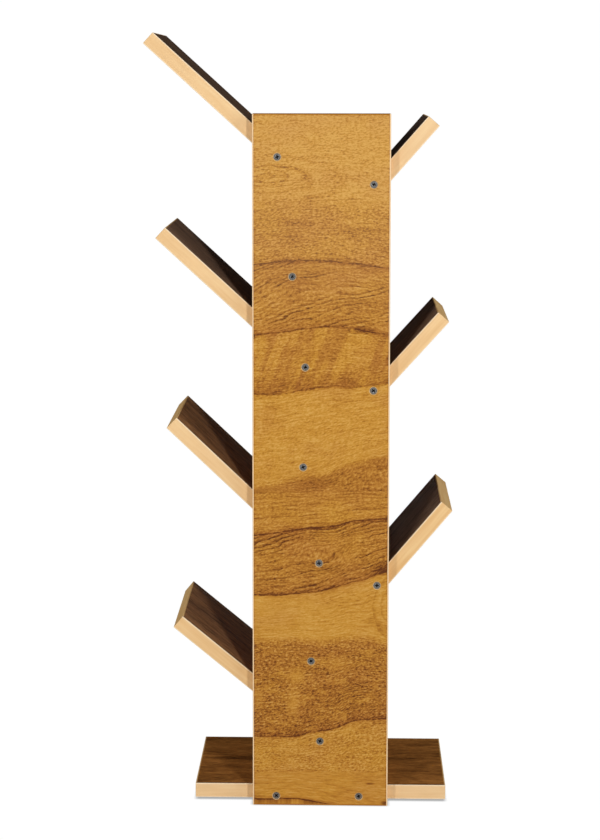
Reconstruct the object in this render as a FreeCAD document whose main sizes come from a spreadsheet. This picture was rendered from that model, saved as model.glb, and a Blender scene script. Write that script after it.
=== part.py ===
"""Tree-shaped bookshelf, in millimetres, with +Z up.

Seven equal boards zigzag down a narrow back panel like branches on a trunk. Each board's lower end is cut
to lie on the upper face of the next board and is screwed to it from below. The lowest board stands on a
base that lies flat on the floor. Screws through the panel hold every board and the base by the rear edge.
All boards are faced chipboard with glued edge bands.

The open book side faces -Y. The origin is on the floor, in the middle of the panel's foot. Shelves are
numbered from the top down: odd shelves have their tip towards +X, even shelves towards -X. A shelf is drawn
flat, with its lower tip corner at its own origin and its rear edge on y = 0, and is then tilted into place.
"""
import FreeCAD
import Part
import Sketcher
import os

SHELF_COUNT = 7
SHELF_NUMBERS = range(1, SHELF_COUNT + 1)

# Driving sizes: name, value, meaning. Angles are in degrees, everything else in millimetres.
SIZES = (
    ("panel_width", "167", "back panel from side to side, over its edge bands"),
    ("panel_thickness", "18", "back panel board"),
    ("panel_headroom", "12.5", "panel top above the top shelf's upper face, at the panel's edge"),
    ("shelf_length", "316", "shelf's upper face, from its tip to its lower end"),
    ("shelf_depth", "180", "shelf from back to front, over its edge bands"),
    ("shelf_thickness", "18", "shelf board"),
    ("landing_offset", "1", "middle of a landing, below the middle of the shelf that it is on"),
    ("shelf_1_angle", "42.3", "top shelf's slope"),
    ("shelf_2_angle", "48.6", "second shelf's slope"),
    ("shelf_3_angle", "42.6", "third shelf's slope"),
    ("shelf_4_angle", "48.0", "fourth shelf's slope"),
    ("shelf_5_angle", "43.5", "fifth shelf's slope"),
    ("shelf_6_angle", "49.9", "sixth shelf's slope"),
    ("shelf_7_angle", "39.4", "lowest shelf's slope"),
    ("foot_reach", "61.5", "lowest shelf's lower corner, from the panel's middle"),
    ("seat_drop", "1.5", "height planed off that corner, so that it stands on a flat"),
    ("base_width", "312", "base from side to side, over its edge bands"),
    ("base_nosing", "2", "base in front of the shelves"),
    ("base_thickness", "18", "base board"),
    ("pad_thickness", "2.5", "foot pad under the base"),
    ("pad_diameter", "24", "foot pad"),
    ("pad_inset", "22", "foot pad's centre, from the base's edges"),
    ("pad_round", "0.8", "rounding of the foot pad's lower rim"),
    ("band_thickness", "1.5", "edge band"),
    ("band_round", "0.8", "rounding of the edge band's outer corners"),
    ("screw_length", "50", "screw, from the top of its head to its point"),
    ("screw_diameter", "4.5", "screw shank, over its thread"),
    ("screw_point", "5", "tapered point of the screw"),
    ("head_diameter", "8.6", "countersunk screw head"),
    ("head_recess", "0.8", "screw head below the face of its board"),
    ("cross_reach", "4.8", "cross recess in the screw head, from end to end"),
    ("cross_width", "1.3", "one slot of the cross recess"),
    ("cross_depth", "2", "cross recess"),
    ("screw_clearance", "0.05", "gap around a screw in its hole"),
    ("pilot_spare", "1.5", "pilot hole beyond the screw's point"),
    ("joint_inset", "45", "landing screws, from the shelf's front and rear edges"),
    ("shelf_1_screw_inset", "30.1", "panel screw, from the panel's edge on the tip's side"),
    ("shelf_2_screw_inset", "20.4", "upper panel screw, from the panel's edge on the tip's side"),
    ("shelf_4_screw_inset", "19.8", "upper panel screw, from the panel's edge on the tip's side"),
    ("shelf_6_screw_inset", "14.4", "upper panel screw, from the panel's edge on the tip's side"),
    ("shelf_2_screw_setback", "62.4", "lower panel screw, from the shelf's lower end"),
    ("shelf_3_screw_setback", "76.0", "panel screw, from the shelf's lower end"),
    ("shelf_4_screw_setback", "65.7", "lower panel screw, from the shelf's lower end"),
    ("shelf_5_screw_setback", "66.9", "panel screw, from the shelf's lower end"),
    ("shelf_6_screw_setback", "62.4", "lower panel screw, from the shelf's lower end"),
    ("shelf_7_screw_setback", "87.5", "panel screw, from the shelf's lower end"),
    ("shelf_2_screw_lift", "4.2", "panel screws, above the middle of the shelf's thickness"),
    ("shelf_3_screw_lift", "0.9", "panel screw, above the middle of the shelf's thickness"),
    ("shelf_4_screw_lift", "4.5", "panel screws, above the middle of the shelf's thickness"),
    ("shelf_5_screw_lift", "1.8", "panel screw, above the middle of the shelf's thickness"),
    ("shelf_6_screw_lift", "4.2", "panel screws, above the middle of the shelf's thickness"),
    ("base_screw_inset", "29.1", "base screw, from the panel's +X edge"),
    ("base_far_screw_inset", "35.7", "other base screw, from the panel's -X edge"),
)

SIZE_NAMES = {name for name, value, meaning in SIZES}

# Sizes that follow from the driving ones, written as expressions.
PLUS_EDGE = "Sizes.panel_width / 2"
MINUS_EDGE = "-Sizes.panel_width / 2"
PANEL_FRONT = "-Sizes.panel_thickness / 2"
BASE_SCREWS = (f"{PLUS_EDGE} - Sizes.base_screw_inset", f"{MINUS_EDGE} + Sizes.base_far_screw_inset")
HOLE_RADIUS = "Sizes.screw_diameter / 2 + Sizes.screw_clearance"
COUNTERSINK = "(Sizes.head_diameter - Sizes.screw_diameter) / 2 + Sizes.head_recess"
PANEL_PILOT = "Sizes.screw_length + Sizes.head_recess - Sizes.panel_thickness + Sizes.pilot_spare"
JOINT_PILOT = "Sizes.screw_length + Sizes.head_recess - Sizes.shelf_thickness + Sizes.pilot_spare"
JOINT_ROWS = ("-Sizes.joint_inset", "-(Sizes.shelf_depth - Sizes.joint_inset)")
SHELF_CORE_DEPTH = "Sizes.shelf_depth - 2 * Sizes.band_thickness"
SHELF_FRONT_BAND = "Sizes.shelf_depth - Sizes.band_thickness"
BASE_CORE_DEPTH = "Sizes.shelf_depth + Sizes.base_nosing - 2 * Sizes.band_thickness"
BASE_FRONT_BAND = "Sizes.shelf_depth + Sizes.base_nosing - Sizes.band_thickness"

TOLERANCE = 1e-6

doc = FreeCAD.newDocument("TreeBookshelf")
subparts = []


# Spreadsheets

def fill_sheet(name, rows):
    """A sheet with one named cell per row."""
    sheet = doc.addObject("Spreadsheet::Sheet", name)
    for row, (alias, content, meaning) in enumerate(rows, start=1):
        sheet.set(f"A{row}", meaning)
        sheet.set(f"B{row}", content)
        sheet.setAlias(f"B{row}", alias)
    doc.recompute()
    return sheet


def towards_tip(number):
    """Sign of X from the panel's middle to the shelf's tip."""
    return "" if number % 2 else "-"


def away_from_tip(number):
    """Sign of a shelf's own x axis from its tip to its lower end."""
    return "-" if number % 2 else ""


def screw_kinds(number):
    """A shelf's panel screws: near the panel's edge (inset), near the lower end (setback), or both."""
    return [kind for kind in ("inset", "setback") if f"shelf_{number}_screw_{kind}" in SIZE_NAMES]


def screw_lift(number):
    """A shelf's panel screws above the middle of its thickness. The top and lowest shelves' are in the middle."""
    name = f"shelf_{number}_screw_lift"
    return f"Sizes.{name}" if name in SIZE_NAMES else "0"


def screw_rows(number, kind):
    """Where a panel screw sits along its shelf, across the panel and above the floor."""
    screw, given = f"shelf_{number}_{kind}", f"Sizes.shelf_{number}_screw_{kind}"
    angle = f"Sizes.shelf_{number}_angle"
    sign = f"{towards_tip(number)}1"
    lift = screw_lift(number)
    start_x = f"((shelf_{number}_tip_x + shelf_{number}_low_x) / 2 - {sign} * {lift} * sin({angle}))"
    start_z = f"((shelf_{number}_tip_z + shelf_{number}_low_z) / 2 + {lift} * cos({angle}))"
    if kind == "inset":
        across = f"={sign} * (Sizes.panel_width / 2 - {given})"
        along = f"={sign} * ({start_x} - {screw}_across) / cos({angle})"
    else:
        across = f"={start_x} - {sign} * {screw}_along * cos({angle})"
        along = f"=Sizes.shelf_length - {given}"
    height = f"={start_z} - {screw}_along * sin({angle})"
    return [(f"{screw}_along", along, "panel screw, from the shelf's tip"),
            (f"{screw}_across", across, "panel screw, from the panel's middle"),
            (f"{screw}_height", height, "panel screw above the floor")]


def place_rows():
    """Where each shelf and screw sits, worked out from the base upwards."""
    rows = [
        ("base_top", "=Sizes.pad_thickness + Sizes.base_thickness", "upper face of the base"),
        ("landing_distance",
         "=(Sizes.shelf_length - Sizes.shelf_thickness) / 2 + Sizes.landing_offset",
         "from a shelf's tip, down its upper face, to the shelf that lands on it"),
    ]
    for number in reversed(SHELF_NUMBERS):
        angle = f"Sizes.shelf_{number}_angle"
        below = f"shelf_{number + 1}"
        sign = f"{towards_tip(number)}1"
        run = f"Sizes.shelf_length * cos({angle})"
        rise = f"Sizes.shelf_length * sin({angle})"
        if number == SHELF_COUNT:
            tip_x = f"=-Sizes.foot_reach - Sizes.shelf_thickness * sin({angle}) + {run}"
            tip_z = f"=base_top - Sizes.seat_drop + Sizes.shelf_thickness * cos({angle}) + {rise}"
        else:
            below_angle = f"Sizes.{below}_angle"
            meeting = f"{angle} + {below_angle}"
            tip_x = f"={below}_tip_x + {sign} * (landing_distance * cos({below_angle}) + {run})"
            tip_z = f"={below}_tip_z - landing_distance * sin({below_angle}) + {rise}"
            rows.append((f"shelf_{number}_bevel", f"={meeting} - 90", "tilt of the lower end from square"))
            rows.append((f"shelf_{number}_underside",
                         f"=Sizes.shelf_length - Sizes.shelf_thickness / tan({meeting})",
                         "lower face, from the tip to the lower end"))
            rows.append((f"{below}_joint",
                         f"=landing_distance + Sizes.shelf_thickness / (2 * sin({meeting}))",
                         "landing screws, from the tip of the shelf that they pass through"))
        rows.append((f"shelf_{number}_tip_x", tip_x, "upper tip corner"))
        rows.append((f"shelf_{number}_tip_z", tip_z, "upper tip corner"))
        rows.append((f"shelf_{number}_low_x",
                     f"=shelf_{number}_tip_x + {sign} * Sizes.shelf_thickness * sin({angle})",
                     "lower tip corner"))
        rows.append((f"shelf_{number}_low_z",
                     f"=shelf_{number}_tip_z - Sizes.shelf_thickness * cos({angle})",
                     "lower tip corner"))
        for kind in screw_kinds(number):
            rows.extend(screw_rows(number, kind))
    rows.append(("panel_height",
                 "=shelf_1_tip_z - (shelf_1_tip_x - Sizes.panel_width / 2) * tan(Sizes.shelf_1_angle)"
                 " + Sizes.panel_headroom",
                 "panel from its foot to its top, over its edge bands"))
    rows.append(("base_screw_height", "=Sizes.pad_thickness + Sizes.base_thickness / 2",
                 "base screws above the floor"))
    rows.append(("seat_start", "=Sizes.shelf_length - Sizes.seat_drop / sin(Sizes.shelf_7_angle)",
                 "lowest shelf's lower face, from its tip to its planed seat"))
    rows.append(("seat_end", "=Sizes.seat_drop / cos(Sizes.shelf_7_angle)",
                 "height of the planed seat on the lowest shelf's end"))
    rows.append(("seat_end_inside", "=seat_end - Sizes.band_thickness * tan(Sizes.shelf_7_angle)",
                 "height of the planed seat behind that end's band"))
    return rows


# Features

def add_body(label):
    """An empty body that becomes one piece."""
    body = doc.addObject("PartDesign::Body", label)
    body.Label = label
    return body


def add_sketch(body, name, role):
    """An empty sketch on one of the body's own planes."""
    sketch = body.newObject("Sketcher::SketchObject", f"{body.Label}_{name}")
    plane = next(feature for feature in body.Origin.OriginFeatures if feature.Role == role)
    sketch.AttachmentSupport = [(plane, "")]
    sketch.MapMode = "FlatFace"
    return sketch


def fix_point(sketch, geometry, position, across, up):
    """Ties a point to two expressions, measured from the sketch's origin."""
    for kind, expression in (("DistanceX", across), ("DistanceY", up)):
        value = float(sketch.evalExpression(expression))
        constraint = sketch.addConstraint(Sketcher.Constraint(kind, -1, 1, geometry, position, value))
        sketch.setExpression(f"Constraints[{constraint}]", expression)


def sketch_point(sketch, across, up):
    """A point of the sketch plane from two expressions."""
    return FreeCAD.Vector(float(sketch.evalExpression(across)), float(sketch.evalExpression(up)), 0)


def draw_outline(sketch, corners):
    """A closed outline through corners that are given as pairs of expressions."""
    points = [sketch_point(sketch, across, up) for across, up in corners]
    for start, end in zip(points, points[1:] + points[:1]):
        sketch.addGeometry(Part.LineSegment(start, end), False)
    for index in range(len(points)):
        following = (index + 1) % len(points)
        sketch.addConstraint(Sketcher.Constraint("Coincident", index, 2, following, 1))
    for index, (across, up) in enumerate(corners):
        fix_point(sketch, index, 1, across, up)


def draw_circles(sketch, centres, radius):
    """Circles of one radius about centres that are given as pairs of expressions."""
    size = float(sketch.evalExpression(radius))
    for across, up in centres:
        centre = sketch_point(sketch, across, up)
        circle = sketch.addGeometry(Part.Circle(centre, FreeCAD.Vector(0, 0, 1), size), False)
        fix_point(sketch, circle, 3, across, up)
        constraint = sketch.addConstraint(Sketcher.Constraint("Radius", circle, size))
        sketch.setExpression(f"Constraints[{constraint}]", radius)


def pad_outline(body, corners, start, depth):
    """Pads an outline on the XZ plane towards -Y, from start to start + depth."""
    sketch = add_sketch(body, "outline", "XZ_Plane")
    draw_outline(sketch, corners)
    sketch.setExpression("AttachmentOffset.Base.z", start)
    pad = body.newObject("PartDesign::Pad", f"{body.Label}_pad")
    pad.Profile = sketch
    pad.setExpression("Length", depth)
    doc.recompute()
    return pad


def cut_pocket(body, name, sketch, depth=None, along_normal=False):
    """Cuts a sketch's holes to a depth, or right through when no depth is given."""
    before = body.Shape.Volume
    pocket = body.newObject("PartDesign::Pocket", f"{body.Label}_{name}")
    pocket.Profile = sketch
    if depth is None:
        pocket.Type = "ThroughAll"
        pocket.SideType = "Symmetric"
    else:
        pocket.setExpression("Length", depth)
        pocket.Reversed = along_normal
    doc.recompute()
    if body.Shape.Volume > before - TOLERANCE:
        raise RuntimeError(f"{body.Label}: {name} cut nothing")
    return pocket


def choose_edges(feature, wanted):
    """Names of a feature's edges whose two end points pass a test."""
    names = []
    for index, edge in enumerate(feature.Shape.Edges, start=1):
        if wanted(edge.Vertexes[0].Point, edge.Vertexes[-1].Point):
            names.append(f"Edge{index}")
    return names


def round_edges(body, feature, wanted, radius):
    """Rounds the chosen edges."""
    fillet = body.newObject("PartDesign::Fillet", f"{body.Label}_round")
    fillet.Base = (feature, choose_edges(feature, wanted))
    fillet.setExpression("Radius", radius)
    doc.recompute()


def countersink(body, feature, wanted):
    """Countersinks the chosen hole rims at 90 degrees for the screw heads."""
    chamfer = body.newObject("PartDesign::Chamfer", f"{body.Label}_countersink")
    chamfer.Base = (feature, choose_edges(feature, wanted))
    chamfer.setExpression("Size", COUNTERSINK)
    doc.recompute()


def near(first, second):
    """True where two lengths are the same."""
    return abs(first - second) < TOLERANCE


def value(expression):
    """An expression's value in millimetres."""
    return float(places.evalExpression(expression))


# Boards and edge bands

def place_on_panel(body, number):
    """Tilts a shelf piece to its slope and sets its rear edge on the panel's front face."""
    body.Placement = FreeCAD.Placement(FreeCAD.Vector(), FreeCAD.Rotation(FreeCAD.Vector(0, 1, 0), 1))
    body.setExpression("Placement.Base.x", f"Places.shelf_{number}_low_x")
    body.setExpression("Placement.Base.y", PANEL_FRONT)
    body.setExpression("Placement.Base.z", f"Places.shelf_{number}_low_z")
    body.setExpression("Placement.Rotation.Angle", f"{away_from_tip(number)}Sizes.shelf_{number}_angle")
    subparts.append(body)


def place_base_piece(body):
    """Sets a base piece on its pads, with its rear edge on the panel's front face."""
    body.setExpression("Placement.Base.y", PANEL_FRONT)
    body.setExpression("Placement.Base.z", "Sizes.pad_thickness")
    subparts.append(body)


def shelf_outline(number, start, banded_end):
    """Corners of a shelf from a distance behind its tip to its lower end.

    The lower end follows the face that it lands on. The lowest shelf's end is square, with a planed seat;
    its core stops short of that end by one band.
    """
    sign = away_from_tip(number)
    top = "Sizes.shelf_thickness"
    near_end = [(f"{sign}({start})", "0"), (f"{sign}({start})", top)]
    if number != SHELF_COUNT:
        return near_end + [(f"{sign}Sizes.shelf_length", top),
                           (f"{sign}Places.shelf_{number}_underside", "0")]
    end, seat = "Sizes.shelf_length", "Places.seat_end"
    if banded_end:
        end, seat = "(Sizes.shelf_length - Sizes.band_thickness)", "Places.seat_end_inside"
    return near_end + [(f"{sign}{end}", top), (f"{sign}{end}", seat), (f"{sign}Places.seat_start", "0")]


def panel_screw_centres(number):
    """Panel screws on a shelf's rear edge, as pairs of a place along it and a height."""
    along = f"{away_from_tip(number)}Places.shelf_{number}"
    rise = f"Sizes.shelf_thickness / 2 + {screw_lift(number)}"
    return [(f"{along}_{kind}_along", rise) for kind in screw_kinds(number)]


def panel_screw_places():
    """All screws through the panel, as pairs of a place across it and a height."""
    found = [(across, "Places.base_screw_height") for across in BASE_SCREWS]
    for number in SHELF_NUMBERS:
        for kind in screw_kinds(number):
            screw = f"Places.shelf_{number}_{kind}"
            found.append((f"{screw}_across", f"{screw}_height"))
    return found


def make_shelf_core(number):
    """Faced board with pilot holes for the panel screws and holes for the landing screws."""
    body = add_body(f"shelf_{number}_board")
    sign = away_from_tip(number)
    pad_outline(body, shelf_outline(number, "Sizes.band_thickness", True), "Sizes.band_thickness",
                SHELF_CORE_DEPTH)
    pilots = add_sketch(body, "panel_pilots", "XZ_Plane")
    draw_circles(pilots, panel_screw_centres(number), HOLE_RADIUS)
    cut_pocket(body, "panel_pilot_holes", pilots, PANEL_PILOT, along_normal=True)
    if number != SHELF_COUNT:
        ends = add_sketch(body, "end_pilots", "YZ_Plane")
        ends.AttachmentOffset = FreeCAD.Placement(
            FreeCAD.Vector(), FreeCAD.Rotation(FreeCAD.Vector(1, 0, 0), 1))
        ends.setExpression("AttachmentOffset.Base.y", "Sizes.shelf_thickness / 2")
        ends.setExpression("AttachmentOffset.Base.z",
                           f"{sign}(Sizes.shelf_length + Places.shelf_{number}_underside) / 2")
        ends.setExpression("AttachmentOffset.Rotation.Angle",
                           f"{towards_tip(number)}Places.shelf_{number}_bevel")
        draw_circles(ends, [(row, "0") for row in JOINT_ROWS], HOLE_RADIUS)
        cut_pocket(body, "end_pilot_holes", ends, JOINT_PILOT, along_normal=number % 2 == 1)
    if number > 1:
        joints = add_sketch(body, "joint_holes", "XY_Plane")
        draw_circles(joints, [(f"{sign}Places.shelf_{number}_joint", row) for row in JOINT_ROWS], HOLE_RADIUS)
        holes = cut_pocket(body, "joint_holes_cut", joints)
        countersink(body, holes, lambda start, end: start == end and near(start.z, 0))
    place_on_panel(body, number)


def make_shelf_side_band(number, name, start, screw_holes):
    """Band along a shelf's rear or front edge, over the ends of its tip band."""
    body = add_body(f"shelf_{number}_{name}_band")
    feature = pad_outline(body, shelf_outline(number, "0", False), start, "Sizes.band_thickness")
    inner = -value(start) if name == "front" else -value("Sizes.band_thickness")
    far = value("Sizes.shelf_length / 2")

    def outer_edge(first, last):
        on_inner_face = near(first.y, inner) and near(last.y, inner)
        at_lower_end = abs(first.x) > far and abs(last.x) > far
        return not on_inner_face and not at_lower_end

    round_edges(body, feature, outer_edge, "Sizes.band_round")
    if screw_holes:
        holes = add_sketch(body, "screw_holes", "XZ_Plane")
        draw_circles(holes, panel_screw_centres(number), HOLE_RADIUS)
        cut_pocket(body, "screw_holes_cut", holes)
    place_on_panel(body, number)


def make_shelf_end_band(number, name, corners, outer_x, lowest_round):
    """Band across a shelf's tip or bare lower end, between its front and rear bands."""
    body = add_body(f"shelf_{number}_{name}_band")
    feature = pad_outline(body, corners, "Sizes.band_thickness", SHELF_CORE_DEPTH)

    def outer_edge(first, last):
        on_outer_face = near(first.x, outer_x) and near(last.x, outer_x)
        return on_outer_face and near(first.z, last.z) and first.z > lowest_round - TOLERANCE

    round_edges(body, feature, outer_edge, "Sizes.band_round")
    place_on_panel(body, number)


def make_shelf(number):
    """One shelf: board, rear and front bands, tip band, and an end band where the end shows."""
    sign = away_from_tip(number)
    top, band = "Sizes.shelf_thickness", f"{sign}Sizes.band_thickness"
    make_shelf_core(number)
    make_shelf_side_band(number, "rear", "0", True)
    make_shelf_side_band(number, "front", SHELF_FRONT_BAND, False)
    tip = [("0", "0"), (band, "0"), (band, top), ("0", top)]
    make_shelf_end_band(number, "tip", tip, 0, 0)
    if number == SHELF_COUNT:
        inside = f"{sign}(Sizes.shelf_length - Sizes.band_thickness)"
        outside = f"{sign}Sizes.shelf_length"
        foot = [(inside, "Places.seat_end_inside"), (outside, "Places.seat_end")]
        foot += [(outside, top), (inside, top)]
        make_shelf_end_band(number, "foot", foot, value(outside), value(top))


def rectangle(left, right, bottom, top):
    """Corners of an upright rectangle."""
    return [(left, bottom), (right, bottom), (right, top), (left, top)]


def make_panel():
    """Back panel with its countersunk screw holes and its four edge bands."""
    band, height = "Sizes.band_thickness", "Places.panel_height"
    left, right = f"{MINUS_EDGE} + {band}", f"{PLUS_EDGE} - {band}"
    depth = "Sizes.panel_thickness"
    rear = "-Sizes.panel_thickness / 2"  # pads run towards -Y, so the rear face lies behind their plane
    core = add_body("back_panel")
    pad_outline(core, rectangle(left, right, band, f"{height} - {band}"), rear, depth)
    holes = add_sketch(core, "screw_holes", "XZ_Plane")
    draw_circles(holes, panel_screw_places(), HOLE_RADIUS)
    through = cut_pocket(core, "screw_holes_cut", holes)
    rear_y = value("Sizes.panel_thickness / 2")
    countersink(core, through, lambda start, end: start == end and near(start.y, rear_y))
    subparts.append(core)

    for name, outer, inner in (("left", MINUS_EDGE, left), ("right", PLUS_EDGE, right)):
        body = add_body(f"panel_{name}_band")
        edges = sorted((outer, inner), key=value)
        feature = pad_outline(body, rectangle(edges[0], edges[1], "0", height), rear, depth)
        inner_x = value(inner)
        round_edges(body, feature, lambda first, last: not (near(first.x, inner_x) and near(last.x, inner_x))
                    and not (near(first.z, 0) and near(last.z, 0)), "Sizes.band_round")
        subparts.append(body)
    top_z = value(height)
    body = add_body("panel_top_band")
    feature = pad_outline(body, rectangle(left, right, f"{height} - {band}", height), rear, depth)
    round_edges(body, feature, lambda first, last: near(first.z, top_z) and near(last.z, top_z)
                and near(first.y, last.y), "Sizes.band_round")
    subparts.append(body)
    body = add_body("panel_bottom_band")
    pad_outline(body, rectangle(left, right, "0", band), rear, depth)
    subparts.append(body)


def make_base():
    """Base board with pilot holes for its two panel screws and its four edge bands."""
    band, top = "Sizes.band_thickness", "Sizes.base_thickness"
    left_edge, right_edge = "-Sizes.base_width / 2", "Sizes.base_width / 2"
    left, right = f"{left_edge} + {band}", f"{right_edge} - {band}"
    centres = [(across, "Sizes.base_thickness / 2") for across in BASE_SCREWS]
    core = add_body("base_board")
    pad_outline(core, rectangle(left, right, "0", top), band, BASE_CORE_DEPTH)
    pilots = add_sketch(core, "panel_pilots", "XZ_Plane")
    draw_circles(pilots, centres, HOLE_RADIUS)
    cut_pocket(core, "panel_pilot_holes", pilots, PANEL_PILOT, along_normal=True)
    place_base_piece(core)

    for name, start in (("rear", "0"), ("front", BASE_FRONT_BAND)):
        body = add_body(f"base_{name}_band")
        feature = pad_outline(body, rectangle(left_edge, right_edge, "0", top), start, band)
        inner_y = -value(start) if name == "front" else -value(band)
        round_edges(body, feature, lambda first, last: not (near(first.y, inner_y) and near(last.y, inner_y)),
                    "Sizes.band_round")
        if name == "rear":
            holes = add_sketch(body, "screw_holes", "XZ_Plane")
            draw_circles(holes, centres, HOLE_RADIUS)
            cut_pocket(body, "screw_holes_cut", holes)
        place_base_piece(body)
    for name, outer, inner in (("left", left_edge, left), ("right", right_edge, right)):
        body = add_body(f"base_{name}_band")
        edges = sorted((outer, inner), key=value)
        feature = pad_outline(body, rectangle(edges[0], edges[1], "0", top), band, BASE_CORE_DEPTH)
        outer_x = value(outer)
        round_edges(body, feature, lambda first, last: near(first.x, outer_x) and near(last.x, outer_x)
                    and near(first.z, last.z), "Sizes.band_round")
        place_base_piece(body)


# Screws and foot pads

def make_screw():
    """Countersunk screw along -Z, with the top of its head on z = 0."""
    body = add_body("screw")
    shank, head = "Sizes.screw_diameter / 2", "Sizes.head_diameter / 2"
    sketch = add_sketch(body, "outline", "XZ_Plane")
    draw_outline(sketch, [
        ("0", "0"),
        (head, "0"),
        (shank, f"-({head} - {shank})"),
        (shank, "-(Sizes.screw_length - Sizes.screw_point)"),
        ("0", "-Sizes.screw_length"),
    ])
    turned = body.newObject("PartDesign::Revolution", "screw_turned")
    turned.Profile = sketch
    turned.ReferenceAxis = (sketch, ["V_Axis"])
    doc.recompute()
    reach, width = "Sizes.cross_reach / 2", "Sizes.cross_width / 2"
    quarter = [(reach, width), (width, width), (width, reach)]
    cross = list(quarter)
    cross += [(f"-{x}", y) for x, y in reversed(quarter)]
    cross += [(f"-{x}", f"-{y}") for x, y in quarter]
    cross += [(x, f"-{y}") for x, y in reversed(quarter)]
    recess = add_sketch(body, "cross", "XY_Plane")
    draw_outline(recess, cross)
    cut_pocket(body, "cross_recess", recess, "Sizes.cross_depth")
    return body


def make_pad():
    """Foot pad that stands on z = 0, with a rounded lower rim."""
    body = add_body("pad")
    sketch = add_sketch(body, "outline", "XY_Plane")
    draw_circles(sketch, [("0", "0")], "Sizes.pad_diameter / 2")
    pad = body.newObject("PartDesign::Pad", "pad_disc")
    pad.Profile = sketch
    pad.setExpression("Length", "Sizes.pad_thickness")
    doc.recompute()
    round_edges(body, pad, lambda first, last: near(first.z, 0) and near(last.z, 0), "Sizes.pad_round")
    return body


def make_set(label, piece, placements):
    """Copies of one piece, each at a placement that is given as an expression."""
    copies = []
    for index, placement in enumerate(placements, start=1):
        copy = doc.addObject("App::Link", f"{label}_{index}")
        copy.LinkedObject = piece
        copy.LinkTransform = False
        copy.setExpression("LinkPlacement", placement)
        copies.append(copy)
    group = doc.addObject("Part::Compound", label)
    group.Label = label
    group.Links = copies
    doc.recompute()
    subparts.append(group)


def at_point(across, forward, up, turn):
    """Expression for a placement from a point and a turn about X."""
    return f"placement(vector({across}; {forward}; {up}); rotation(vector(1; 0; 0); {turn}))"


def make_fasteners():
    """Screws through the panel, screws through the landings, and the foot pads."""
    screw = make_screw()
    head = "Sizes.panel_thickness / 2 - Sizes.head_recess"
    panel_places = [at_point(across, head, height, "-90") for across, height in panel_screw_places()]
    make_set("panel_screws", screw, panel_places)

    joint_places = []
    for number in SHELF_NUMBERS[1:]:
        sign = away_from_tip(number)
        for row in JOINT_ROWS:
            flat = at_point(f"{sign}Places.shelf_{number}_joint", row, "Sizes.head_recess", "180")
            joint_places.append(f"shelf_{number}_board.Placement * {flat}")
    make_set("landing_screws", screw, joint_places)

    across = "(Sizes.base_width / 2 - Sizes.pad_inset)"
    rear = f"{PANEL_FRONT} - Sizes.pad_inset"
    front = f"{PANEL_FRONT} - Sizes.shelf_depth - Sizes.base_nosing + Sizes.pad_inset"
    pad_places = [at_point(f"{side}{across}", row, "0", "0") for side in ("", "-") for row in (rear, front)]
    make_set("foot_pads", make_pad(), pad_places)


def check_and_export():
    """Writes one file per piece once every object has been built without a fault."""
    for item in doc.Objects:
        if "Invalid" in item.State or "Error" in item.State:
            raise RuntimeError(f"{item.Name} failed: {item.State}")
    for item in subparts:
        if item.Shape.isNull() or not item.Shape.isValid():
            raise RuntimeError(f"{item.Label} has no valid shape")
    os.makedirs("parts", exist_ok=True)
    for item in subparts:
        item.Shape.exportStep(os.path.join("parts", f"{item.Label}.step"))


fill_sheet("Sizes", SIZES)
places = fill_sheet("Places", place_rows())
make_panel()
make_base()
for shelf_number in SHELF_NUMBERS:
    make_shelf(shelf_number)
make_fasteners()
doc.recompute()
check_and_export()
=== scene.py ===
"""Looks of a tree-shaped bookshelf: printed boards, edge bands, screws, pads and a plain studio."""

import math
from collections import namedtuple

import bpy
import numpy as np
from bpy.props import FloatProperty, FloatVectorProperty, PointerProperty
from mathutils import Euler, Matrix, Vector


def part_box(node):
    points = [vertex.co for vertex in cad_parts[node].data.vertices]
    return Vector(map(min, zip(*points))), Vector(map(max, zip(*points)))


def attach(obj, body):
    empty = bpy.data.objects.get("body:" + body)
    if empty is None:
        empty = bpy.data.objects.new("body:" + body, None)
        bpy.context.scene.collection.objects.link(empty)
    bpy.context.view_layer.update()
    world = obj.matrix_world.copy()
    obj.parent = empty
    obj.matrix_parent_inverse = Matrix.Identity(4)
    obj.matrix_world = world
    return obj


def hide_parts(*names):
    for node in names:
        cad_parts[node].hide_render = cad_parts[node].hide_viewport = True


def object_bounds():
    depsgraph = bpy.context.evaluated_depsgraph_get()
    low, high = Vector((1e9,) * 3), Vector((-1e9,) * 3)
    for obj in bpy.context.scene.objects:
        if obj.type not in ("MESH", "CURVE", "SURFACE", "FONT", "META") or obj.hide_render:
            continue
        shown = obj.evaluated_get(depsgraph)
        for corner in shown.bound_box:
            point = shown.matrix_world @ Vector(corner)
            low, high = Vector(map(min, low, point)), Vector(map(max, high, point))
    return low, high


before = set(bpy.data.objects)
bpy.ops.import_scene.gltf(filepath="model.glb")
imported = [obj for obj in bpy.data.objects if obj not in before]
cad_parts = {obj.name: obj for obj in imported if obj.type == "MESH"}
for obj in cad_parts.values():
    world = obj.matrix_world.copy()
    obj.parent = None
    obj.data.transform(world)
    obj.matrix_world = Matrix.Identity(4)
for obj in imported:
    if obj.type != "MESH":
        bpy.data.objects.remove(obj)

bl_info = {
    "name": "Tree-shaped bookshelf",
    "version": (1, 0, 0),
    "blender": (4, 5, 0),
    "location": "View3D > Sidebar > Bookshelf",
    "description": "Finishes, screws, foot pads and studio of a tree-shaped bookshelf",
    "category": "Object",
}

CAD_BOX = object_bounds()
BODY = "root"
MM = 1000.0
SHELVES = sorted(
    name.removesuffix("_board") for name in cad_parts
    if name.startswith("shelf_") and name.endswith("_board"))

# A noise has turns per millimetre along X, Y and Z, a number of finer layers, their strength and a
# warp.
Noise = namedtuple("Noise", "scale detail roughness warp", defaults=(2.0, 0.5, 0.0))
# A bump has a strength and a height in metres.
Bump = namedtuple("Bump", "strength height")
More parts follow.
